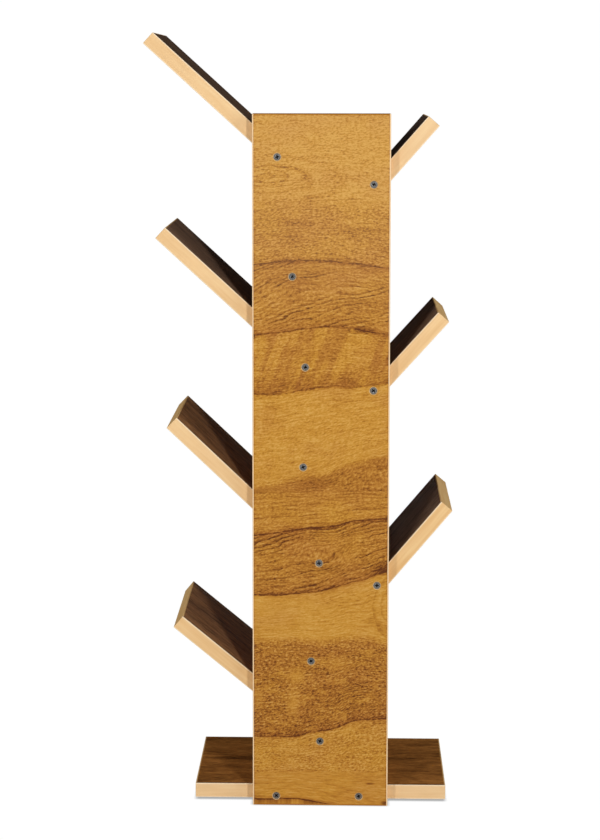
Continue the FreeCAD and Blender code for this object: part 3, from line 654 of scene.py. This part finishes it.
def node_points(node):
    """Corners of a CAD node's mesh as rows of x, y, z."""
    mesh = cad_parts[node].data
    points = np.empty(len(mesh.vertices) * 3)
    mesh.vertices.foreach_get("co", points)
    return points.reshape(-1, 3)


def shelf_slope(shelf):
    """A shelf's slope about Y: of many angles, the one that makes its board look thinnest."""
    x, _, z = node_points(f"{shelf}_board").T
    slopes = np.radians(np.linspace(-STEEPEST, STEEPEST, SLOPE_STEPS))
    heights = np.outer(np.sin(slopes), x) + np.outer(np.cos(slopes), z)
    return slopes[np.ptp(heights, axis=1).argmin()]


def screw_places(node):
    """Head middle and outward axis of each screw.

    Corners that triangles join take the lowest number among them until none changes, which parts
    the mesh into screws. A screw's axis is its longest direction, from its point to its widest end.
    """
    rounded = node_points(node).round(POINT_DIGITS)
    points, corners = np.unique(rounded, axis=0, return_inverse=True)
    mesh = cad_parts[node].data
    triangles = np.empty(len(mesh.loops), dtype=np.int64)
    mesh.loops.foreach_get("vertex_index", triangles)
    triangles = corners.ravel()[triangles].reshape(-1, 3)
    island = np.arange(len(points))
    while True:
        lowest = island.copy()
        np.minimum.at(lowest, triangles.ravel(), np.repeat(island[triangles].min(1), 3))
        lowest = lowest[lowest]
        if np.array_equal(lowest, island):
            break
        island = lowest
    places = []
    for label in np.unique(island):
        own = points[island == label]
        middle = own.mean(0)
        axis = np.linalg.svd(own - middle, full_matrices=False)[2][0]
        along = (own - middle) @ axis
        away = np.linalg.norm(own - middle - np.outer(along, axis), axis=1)
        axis = axis if along[away.argmax()] > 0 else -axis
        along = (own - middle) @ axis
        head = own[along > along.max() - HEAD_FLATNESS]
        places.append(((head.min(0) + head.max(0)) / 2, axis))
    return places


def smooth_step(value, low, high):
    """0 below low and 1 above high, with a soft start and end between them."""
    share = np.clip((value - low) / (high - low), 0.0, 1.0)
    return share * share * (3.0 - 2.0 * share)


def screw_skin(sizes):
    """A screw about the Z axis with its head's top on z = 0: its points, their shade and its faces.

    Rings follow a profile of radius and depth: flat top, rounded rim, 90 degree cone, neck,
    threaded shank, point. The cross recess sinks a ring by its depth where the smaller of |x| and
    |y| is inside a wing and the larger is short of its reach. The thread swells the shank by a
    triangle wave of depth / pitch minus turn. The shade is full in the recess and falls off inwards
    from the rim.
    """
    head, shank = sizes.head_diameter / 2, sizes.shank_diameter / 2
    neck, pitch = head - shank, sizes.thread_pitch
    thread_start, thread_end = neck + pitch, sizes.length - sizes.point_length
    rows = int((thread_end - thread_start) / pitch * RINGS_PER_TURN)
    point = np.array(POINT_SHARES)
    neck_radii, neck_depths = [shank, shank * NECK_SHARE], [neck, neck + pitch * NECK_LENGTH_SHARE]
    profile = (
        (head * np.array(TOP_SHARES), np.zeros(len(TOP_SHARES))),
        (head * np.array(RIM_SHARES), head * np.array(RIM_DROP_SHARES)),
        (neck_radii, neck_depths),
        (np.full(rows, shank), np.linspace(thread_start, thread_end, rows)),
        (shank * (1 - point), thread_end + sizes.point_length * point),
    )
    top = len(TOP_SHARES)
    first = top + len(RIM_SHARES) + len(neck_radii)
    last = first + rows
    quarter = np.radians(QUARTER_TURN)
    turn = np.concatenate([quarter + math.pi / 2 * side for side in range(4)])
    radius, depth = (
        np.repeat(np.concatenate(column)[:, None], len(turn), 1) for column in zip(*profile))
    phase = (depth / pitch - turn / (2 * math.pi)) % 1.0
    crest = np.clip(1.0 - np.abs(phase - 0.5) * THREAD_SHARPNESS, 0.0, 1.0)
    swell = THREAD_ROOT_SHARE + (1.0 - THREAD_ROOT_SHARE) * crest
    radius[first:last] *= swell[first:last]
    x, y = radius * np.cos(turn), radius * np.sin(turn)
    wide, narrow = np.maximum(abs(x), abs(y)), np.minimum(abs(x), abs(y))
    wing, reach = sizes.wing_width / 2, sizes.wing_reach / 2
    sunk = smooth_step(wing + RECESS_WALL / 2 - narrow, 0.0, RECESS_WALL)
    sunk = sunk * smooth_step(reach - wide, 0.0, RECESS_END)
    sunk[top:] = 0.0
    depth = depth + sizes.recess_depth * sunk
    rim = smooth_step(np.hypot(x, y), *(head * share for share in RIM_SHADE_SHARES))
    shade = np.maximum(sunk, rim * RIM_SHADE)
    rings = np.stack([x, y, -depth], axis=-1).reshape(-1, 3)
    ends = [[0.0, 0.0, -sizes.recess_depth], [0.0, 0.0, -sizes.length]]
    walls, *fans = skin_faces(*depth.shape)
    shade = np.append(shade, (RECESS_SHADE, POINT_SHADE))
    return np.concatenate([rings, ends]), shade, walls, np.concatenate(fans)


def skin_faces(rows, columns):
    """Faces over rings of points: walls closed round each ring, and a fan over both end rings.

    The fans' middles are the two points after the rings.
    """
    index = np.arange(rows * columns).reshape(rows, columns)
    ahead = np.roll(index, -1, axis=1)
    walls = np.stack([index[:-1], index[1:], ahead[1:], ahead[:-1]], axis=-1).reshape(-1, 4)
    start, end = rows * columns, rows * columns + 1
    first_fan = np.stack([np.full(columns, start), index[0], ahead[0]], axis=-1)
    last_fan = np.stack([np.full(columns, end), ahead[-1], index[-1]], axis=-1)
    return walls, first_fan, last_fan


def set_at(places, points, shade, walls, caps):
    """Copies of one skin, each with its Z axis along a place's axis and its origin at the place."""
    all_points, all_walls, all_caps = [], [], []
    for count, (origin, axis) in enumerate(places):
        spin = Euler((0.0, 0.0, SCREW_SPIN * count)).to_matrix()
        turn = np.array(Vector(axis).to_track_quat("Z", "Y").to_matrix() @ spin)
        all_points.append(points @ turn.T + origin)
        all_walls.append(walls + count * len(points))
        all_caps.append(caps + count * len(points))
    points, walls, caps = map(np.concatenate, (all_points, all_walls, all_caps))
    return points, np.tile(shade, len(places)), walls, caps


def add_piece(name, points, shade, walls, caps, material, slot, node):
    """A new mesh that stands for a CAD node and rides on the bookshelf's body."""
    mesh = bpy.data.meshes.new(name)
    mesh.from_pydata(points, [], walls.tolist() + caps.tolist())
    mesh.materials.append(material)
    mesh.attributes.new("shade", "FLOAT", "POINT").data.foreach_set("value", shade)
    mesh.polygons.foreach_set("use_smooth", np.ones(len(mesh.polygons), dtype=bool))
    mesh.set_sharp_from_angle(angle=SHARP_ANGLE)
    mesh.update()
    piece = bpy.data.objects.new(name, mesh)
    bpy.context.scene.collection.objects.link(piece)
    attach(piece, BODY)
    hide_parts(node)
    return piece


class BOOKSHELF_PG_colours(bpy.types.PropertyGroup):
    """Colours of the finishes, as linear values."""
    honey_light: FloatVectorProperty(
        name="Light honey", description="Palest part of the panel's print",
        subtype="COLOR", default=(0.64, 0.352, 0.080))
    honey: FloatVectorProperty(
        name="Honey", description="Main tone of the panel's print",
        subtype="COLOR", default=(0.535, 0.252, 0.034))
    honey_brown: FloatVectorProperty(
        name="Honey brown", description="Browner zones of the panel's print",
        subtype="COLOR", default=(0.365, 0.145, 0.018))
    russet_light: FloatVectorProperty(
        name="Light russet", description="Palest part of the print's redder zones",
        subtype="COLOR", default=(0.575, 0.295, 0.080))
    russet: FloatVectorProperty(
        name="Russet", description="Main tone of the print's redder zones",
        subtype="COLOR", default=(0.475, 0.206, 0.040))
    russet_brown: FloatVectorProperty(
        name="Russet brown", description="Dark tone of the print's redder zones",
        subtype="COLOR", default=(0.340, 0.122, 0.020))
    seam_brown: FloatVectorProperty(
        name="Seam brown", description="Dark seams of the panel's print",
        subtype="COLOR", default=(0.12, 0.035, 0.009))
    core: FloatVectorProperty(
        name="Core", description="Chipboard in the panel's screw holes",
        subtype="COLOR", default=(0.70, 0.50, 0.28))
    core_dark: FloatVectorProperty(
        name="Dark core", description="Darker chips of that core",
        subtype="COLOR", default=(0.50, 0.33, 0.16))
    walnut_light: FloatVectorProperty(
        name="Light walnut", description="Palest streaks of the shelves' print",
        subtype="COLOR", default=(0.45, 0.200, 0.062))
    walnut: FloatVectorProperty(
        name="Walnut", description="Main tone of the shelves' print",
        subtype="COLOR", default=(0.27, 0.115, 0.034))
    walnut_dark: FloatVectorProperty(
        name="Dark walnut", description="Darkest streaks of the shelves' print",
        subtype="COLOR", default=(0.100, 0.041, 0.014))
    cream_light: FloatVectorProperty(
        name="Light cream", description="Palest lines of the edge bands",
        subtype="COLOR", default=(0.877, 0.62, 0.33))
    cream: FloatVectorProperty(
        name="Cream", description="Main tone of the edge bands",
        subtype="COLOR", default=(0.827, 0.55, 0.28))
    cream_dark: FloatVectorProperty(
        name="Dark cream", description="Darkest lines of the edge bands",
        subtype="COLOR", default=(0.758, 0.48, 0.225))
    # The tips' bands are the same cream band as the others; the three tip tones are painted light,
    # for how light falls on the tips.
    tip_light: FloatVectorProperty(
        name="Light tip", description="Palest lines of the tips' bands",
        subtype="COLOR", default=(0.95, 0.655, 0.295))
    tip: FloatVectorProperty(
        name="Tip", description="Main tone of the tips' bands",
        subtype="COLOR", default=(0.92, 0.585, 0.250))
    tip_dark: FloatVectorProperty(
        name="Dark tip", description="Darkest lines of the tips' bands",
        subtype="COLOR", default=(0.845, 0.510, 0.200))
    # Painted highlight along a band's long edges, and the tone that the bands' painted light mixes
    # towards.
    arris_highlight: FloatVectorProperty(
        name="Arris", description="Pale lines along a band's long edges",
        subtype="COLOR", default=(0.95, 0.75, 0.51))
    zinc: FloatVectorProperty(
        name="Zinc", description="Plating of the screws",
        subtype="COLOR", default=(0.34, 0.33, 0.31))
    zinc_blue: FloatVectorProperty(
        name="Bluish zinc", description="Cloud in the screws' plating",
        subtype="COLOR", default=(0.22, 0.22, 0.22))
    # Painted shade in the cross recess and round the rim of each head.
    zinc_painted_shade: FloatVectorProperty(
        name="Dark zinc", description="Cross recess and rim of the screws",
        subtype="COLOR", default=(0.020, 0.019, 0.018))
    foam: FloatVectorProperty(
        name="Foam", description="Foam rubber of the foot pads",
        subtype="COLOR", default=(0.018, 0.018, 0.018))
    foam_dark: FloatVectorProperty(
        name="Dark foam", description="Pores of that foam",
        subtype="COLOR", default=(0.008, 0.008, 0.008))


class BOOKSHELF_PG_fittings(bpy.types.PropertyGroup):
    """Sizes of the screws."""
    head_diameter: FloatProperty(
        name="Head diameter", description="Across a screw's countersunk head",
        unit="LENGTH", default=0.0086)
    shank_diameter: FloatProperty(
        name="Shank diameter", description="Over the crests of a screw's thread",
        unit="LENGTH", default=0.0045)
    length: FloatProperty(
        name="Screw length", description="From the top of the head to the point",
        unit="LENGTH", default=0.05)
    point_length: FloatProperty(
        name="Point length", description="Length of a screw's cone point",
        unit="LENGTH", default=0.005)
    thread_pitch: FloatProperty(
        name="Thread pitch", description="From one thread crest to the next",
        unit="LENGTH", default=0.0022)
    wing_width: FloatProperty(
        name="Wing width", description="Width of one wing of the cross recess",
        unit="LENGTH", default=0.0011)
    wing_reach: FloatProperty(
        name="Wing reach", description="Across the cross recess from wing to wing",
        unit="LENGTH", default=0.0052)
    recess_depth: FloatProperty(
        name="Recess depth", description="Depth of the cross recess",
        unit="LENGTH", default=0.0024)


class BOOKSHELF_PG_studio(bpy.types.PropertyGroup):
    """Camera, lights and floor."""
    camera_place: FloatVectorProperty(
        name="Camera place", description="Where the camera stands",
        subtype="TRANSLATION", unit="LENGTH", default=(-0.032778, 2.447278, 0.893322))
    camera_turn: FloatVectorProperty(
        name="Camera turn", description="How the camera is turned",
        subtype="EULER", unit="ROTATION",
        default=tuple(math.radians(angle) for angle in (84.023, -0.0656, -178.6211)))
    lens: FloatProperty(
        name="Lens", description="Focal length in millimetres", unit="CAMERA", default=86.93)
    camera_drop: FloatProperty(
        name="Drop", description="Lens shift that frames the foot", default=-0.15)
    near_box: FloatVectorProperty(
        name="Near soft box", description="Middle of the soft box on the lowest shelf's foot side",
        subtype="TRANSLATION", unit="LENGTH", default=(-1.15, 2.8, 1.4))
    far_box: FloatVectorProperty(
        name="Far soft box", description="Middle of the soft box on the top shelf's side",
        subtype="TRANSLATION", unit="LENGTH", default=(1.6, 2.8, 1.4))
    box_size: FloatProperty(
        name="Soft box size", description="Side of a soft box", unit="LENGTH", default=0.3)
    near_power: FloatProperty(
        name="Near box power", description="Power of the near soft box in watts",
        unit="POWER", default=36.0)
    far_power: FloatProperty(
        name="Far box power", description="Power of the far soft box in watts",
        unit="POWER", default=30.0)
    side_fill: FloatVectorProperty(
        name="Side fill",
        description="Middle of the broad fill on the top shelf's side; the other mirrors it",
        subtype="TRANSLATION", unit="LENGTH", default=(3.3, 1.8, 1.3))
    fill_size: FloatProperty(
        name="Fill size", description="Side of a broad fill", unit="LENGTH", default=2.2)
    fill_power: FloatProperty(
        name="Fill power", description="Power of the broad fill on the top shelf's side in watts",
        unit="POWER", default=33.0)
    mirrored_power: FloatProperty(
        name="Mirrored fill power",
        description="Power of the broad fill on the other side in watts",
        unit="POWER", default=50.0)
    book_fill: FloatVectorProperty(
        name="Book side fill", description="Middle of the low fill on the book side",
        subtype="TRANSLATION", unit="LENGTH", default=(0.0, -3.0, 0.2))
    book_size: FloatProperty(
        name="Book side fill size", description="Side of that low fill", unit="LENGTH", default=0.4)
    book_power: FloatProperty(
        name="Book side fill power", description="Power of that low fill in watts",
        unit="POWER", default=9.0)
    wash_power: FloatProperty(
        name="Book side wash power",
        description="Power of the light beside that fill that no gloss mirrors, in watts",
        unit="POWER", default=22.0)
    sky: FloatProperty(
        name="Room light", description="Strength of the even light all round", default=0.035)
    glow: FloatProperty(
        name="White", description="How bright the picture shows the open floor and the backdrop",
        default=1.01)
    # The painted contact shadow under the bookshelf: its tone and its reach.
    contact_shadow_tone: FloatProperty(
        name="Contact tone",
        description="How bright the picture shows the floor right under the bookshelf",
        default=0.15)
    contact_shadow_reach: FloatProperty(
        name="Contact", description="Reach of the thin dark line on the floor under the bookshelf",
        unit="LENGTH", default=0.0045)
    floor_radius: FloatProperty(
        name="Floor radius", description="Radius of the round floor", unit="LENGTH", default=40.0)


class BOOKSHELF_OT_panel(bpy.types.Operator):
    """Print the back panel in honey oak, with a matching band along its top and foot"""
    bl_idname = "bookshelf.finish_panel"
    bl_label = "Finish the panel"

    def execute(self, context):
        colours = context.scene.bookshelf_colours
        dress("back_panel", honey_print(colours))
        tones = (colours.honey, colours.honey_brown, colours.russet_brown)
        matching = edge_band("honey_band", (0.0, 0.0, 0.0), tones, colours.honey_light)
        dress("panel_top_band", matching)
        dress("panel_bottom_band", matching)
        return {"FINISHED"}


class BOOKSHELF_OT_shelves(bpy.types.Operator):
    """Print the shelves and the base in walnut, with the grain along each board"""
    bl_idname = "bookshelf.finish_shelves"
    bl_label = "Finish the shelves and base"

    def execute(self, context):
        colours = context.scene.bookshelf_colours
        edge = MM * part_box("base_board")[1].y
        dress("base_board", walnut_print(
            "walnut_print_base", 0.0, 0.0, BASE_LIT_TONE, edge, colours, BASE_STREAKS))
        for number, (shelf, board) in enumerate(zip(SHELVES, SHELF_LIT_TONES), start=1):
            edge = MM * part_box(f"{shelf}_board")[1].y
            slope, shift = shelf_slope(shelf), BOARD_SHIFT * number
            dress(f"{shelf}_board", walnut_print(
                f"walnut_print_{number}", slope, shift, board, edge, colours))
        return {"FINISHED"}


class BOOKSHELF_OT_bands(bpy.types.Operator):
    """Give the edge bands their cream wood tone, with the lines along each band"""
    bl_idname = "bookshelf.finish_bands"
    bl_label = "Finish the edge bands"

    def execute(self, context):
        colours = context.scene.bookshelf_colours
        # Both sets of tones carry the highlight tone for the painted highlight along the bands'
        # long edges.
        cream = ((colours.cream_light, colours.cream, colours.cream_dark), colours.arris_highlight)
        # Painted light: the tips' bands get their own tones for how light falls on them.
        tip_lit_tones = ((colours.tip_light, colours.tip, colours.tip_dark), colours.arris_highlight)
        # Painted highlight: the panel's upright bands are made paler where their corners catch the
        # light.
        upright = edge_band(
            "cream_band_upright_painted_highlight", (0.0, math.pi / 2, 0.0), *cream, paler=UPRIGHT_HIGHLIGHT_SHARE)
        ends = edge_band("cream_band_ends_painted_light", (0.0, 0.0, math.pi / 2), *tip_lit_tones)
        for side in ("left", "right"):
            dress(f"panel_{side}_band", upright)
            dress(f"base_{side}_band", ends)
        # The base's and each shelf's band paleness is painted light, mixing the cream towards the
        # highlight tone.
        bands = [f"base_{side}_band" for side in ("rear", "front")]
        level = edge_band("cream_band_level", (0.0, 0.0, 0.0), *cream, bands, BASE_LIT_TONE.band)
        for band in bands:
            dress(band, level)
        for shelf, board in zip(SHELVES, SHELF_LIT_TONES):
            bands = [f"{shelf}_{side}_band" for side in ("rear", "front")]
            turn = (0.0, shelf_slope(shelf), 0.0)
            sloped = edge_band(f"cream_band_{shelf}", turn, *cream, bands, board.band)
            for band in bands:
                dress(band, sloped)
            dress(f"{shelf}_tip_band", ends)
        dress(f"{SHELVES[-1]}_foot_band", ends)
        return {"FINISHED"}


class BOOKSHELF_OT_screws(bpy.types.Operator):
    """Make the zinc screws of the panel and of the landings"""
    bl_idname = "bookshelf.make_screws"
    bl_label = "Make the screws"

    def execute(self, context):
        material = zinc(context.scene.bookshelf_colours)
        skin = screw_skin(context.scene.bookshelf_fittings)
        for node in ("panel_screws", "landing_screws"):
            screws = set_at(screw_places(node), *skin)
            add_piece(f"{node[:-1]}_set", *screws, material, "screw", node)
        return {"FINISHED"}


class BOOKSHELF_OT_pads(bpy.types.Operator):
    """Give the foot pads their dark foam rubber"""
    bl_idname = "bookshelf.finish_pads"
    bl_label = "Finish the foot pads"

    def execute(self, context):
        dress("foot_pads", foam(context.scene.bookshelf_colours))
        return {"FINISHED"}


class BOOKSHELF_OT_studio(bpy.types.Operator):
    """Set the pale floor, the soft lights and the camera"""
    bl_idname = "bookshelf.set_studio"
    bl_label = "Set the studio"

    def execute(self, context):
        studio = context.scene.bookshelf_studio
        add_floor(studio)
        add_room_light(context.scene, studio)
        other_fill = Vector(studio.side_fill) * Vector((-1.0, 1.0, 1.0))
        add_soft_box("near_box", studio.near_box, studio.box_size, studio.near_power)
        add_soft_box("far_box", studio.far_box, studio.box_size, studio.far_power)
        add_soft_box("side_fill", studio.side_fill, studio.fill_size, studio.fill_power)
        add_soft_box("other_side_fill", other_fill, studio.fill_size, studio.mirrored_power)
        add_soft_box("book_side_fill", studio.book_fill, studio.book_size, studio.book_power)
        add_soft_box("book_side_wash", studio.book_fill, studio.book_size, studio.wash_power, False)
        add_camera(context.scene, studio)
        context.scene.view_settings.view_transform = "Standard"
        return {"FINISHED"}


def add_floor(studio):
    """A round floor on z = 0: rings of points whose radius grows evenly from the middle.

    The picture shows it evenly white, with a painted contact shadow: a thin dark line where the
    bookshelf stands on it and closes the floor in.
    The light that it gives back to the bookshelf is that of a pale matte floor.
    """
    radius = np.linspace(0.0, studio.floor_radius, FLOOR_RINGS + 1)[1:, None]
    turn = np.linspace(0.0, 2 * math.pi, FLOOR_SPOKES, endpoint=False)[None, :]
    points = np.stack([radius * np.cos(turn), radius * np.sin(turn), 0.0 * radius * turn], axis=-1)
    points = np.concatenate([points.reshape(-1, 3), np.zeros((1, 3))])
    walls, middle, _ = skin_faces(FLOOR_RINGS, FLOOR_SPOKES)
    mesh = bpy.data.meshes.new("floor")
    mesh.from_pydata(points, [], walls.tolist() + middle.tolist())
    add = Finish(
        "pale_floor", Roughness=FLOOR_ROUGHNESS, Specular_IOR_Level=0.0, Emission_Color=WHITE)
    colour = add.ramp(add.noise(add.place(), FLOOR_GRAIN), FLOOR_STEPS, FLOOR_TONES)
    # Painted contact shadow: the glow falls to a darker tone where the bookshelf closes the floor
    # in.
    glow = add.spread(
        add.openness(studio.contact_shadow_reach), 0.0, 1.0, studio.contact_shadow_tone, studio.glow, False)
    add.give(add.shader.inputs["Emission Strength"], add.times(glow, add.seen()))
    mesh.materials.append(add.surface(add.choose(add.seen(), colour, BLACK)))
    add.material.cycles.emission_sampling = "NONE"
    floor = bpy.data.objects.new("floor", mesh)
    bpy.context.scene.collection.objects.link(floor)


def add_room_light(scene, studio):
    """Even light all round, with a white backdrop where the camera sees past the floor."""
    world = bpy.data.worlds.new("studio_room")
    world.use_nodes = True
    scene.world = world
    nodes, links = world.node_tree.nodes, world.node_tree.links
    room, backdrop = nodes["Background"], nodes.new("ShaderNodeBackground")
    for light, strength in ((room, studio.sky), (backdrop, studio.glow)):
        light.inputs["Color"].default_value = WHITE
        light.inputs["Strength"].default_value = strength
    choice = nodes.new("ShaderNodeMixShader")
    links.new(nodes.new("ShaderNodeLightPath").outputs["Is Camera Ray"], choice.inputs[0])
    links.new(room.outputs[0], choice.inputs[1])
    links.new(backdrop.outputs[0], choice.inputs[2])
    links.new(choice.outputs[0], nodes["World Output"].inputs["Surface"])


def add_soft_box(name, place, size, power, mirrored=True):
    """A square soft light turned to the middle of the bookshelf, which gloss mirrors or not."""
    light = bpy.data.lights.new(name, "AREA")
    light.shape, light.size, light.energy = "SQUARE", size, power
    lamp = bpy.data.objects.new(name, light)
    lamp.location = place
    lamp.visible_glossy = mirrored
    middle = (CAD_BOX[0] + CAD_BOX[1]) / 2
    lamp.rotation_euler = (middle - Vector(place)).to_track_quat("-Z", "Y").to_euler()
    bpy.context.scene.collection.objects.link(lamp)


def add_camera(scene, studio):
    """The camera behind the bookshelf, near the height of its top."""
    camera = bpy.data.cameras.new("camera")
    camera.lens, camera.sensor_width = studio.lens, SENSOR_WIDTH
    camera.shift_y = studio.camera_drop
    holder = bpy.data.objects.new("camera", camera)
    holder.location = studio.camera_place
    holder.rotation_euler = Euler(studio.camera_turn)
    scene.collection.objects.link(holder)
    scene.camera = holder


class BOOKSHELF_PT_sidebar(bpy.types.Panel):
    """The bookshelf's steps and settings"""
    bl_idname = "BOOKSHELF_PT_sidebar"
    bl_label = "Bookshelf"
    bl_space_type = "VIEW_3D"
    bl_region_type = "UI"
    bl_category = "Bookshelf"

    def draw(self, context):
        for operator in OPERATORS:
            self.layout.operator(operator.bl_idname)
        for name, group in GROUPS.items():
            box = self.layout.box()
            for setting in group.__annotations__:
                box.prop(getattr(context.scene, name), setting)


GROUPS = {
    "bookshelf_colours": BOOKSHELF_PG_colours,
    "bookshelf_fittings": BOOKSHELF_PG_fittings,
    "bookshelf_studio": BOOKSHELF_PG_studio,
}
OPERATORS = (
    BOOKSHELF_OT_panel, BOOKSHELF_OT_shelves, BOOKSHELF_OT_bands, BOOKSHELF_OT_screws,
    BOOKSHELF_OT_pads, BOOKSHELF_OT_studio)
CLASSES = (*GROUPS.values(), *OPERATORS, BOOKSHELF_PT_sidebar)


def register():
    for cls in CLASSES:
        bpy.utils.register_class(cls)
    for name, group in GROUPS.items():
        setattr(bpy.types.Scene, name, PointerProperty(type=group))


def unregister():
    for name in GROUPS:
        delattr(bpy.types.Scene, name)
    for cls in reversed(CLASSES):
        bpy.utils.unregister_class(cls)


def main():
    register()
    bpy.ops.bookshelf.finish_panel()
    bpy.ops.bookshelf.finish_shelves()
    bpy.ops.bookshelf.finish_bands()
    bpy.ops.bookshelf.make_screws()
    bpy.ops.bookshelf.finish_pads()
    bpy.ops.bookshelf.set_studio()


if __name__ == "__main__":
    main()
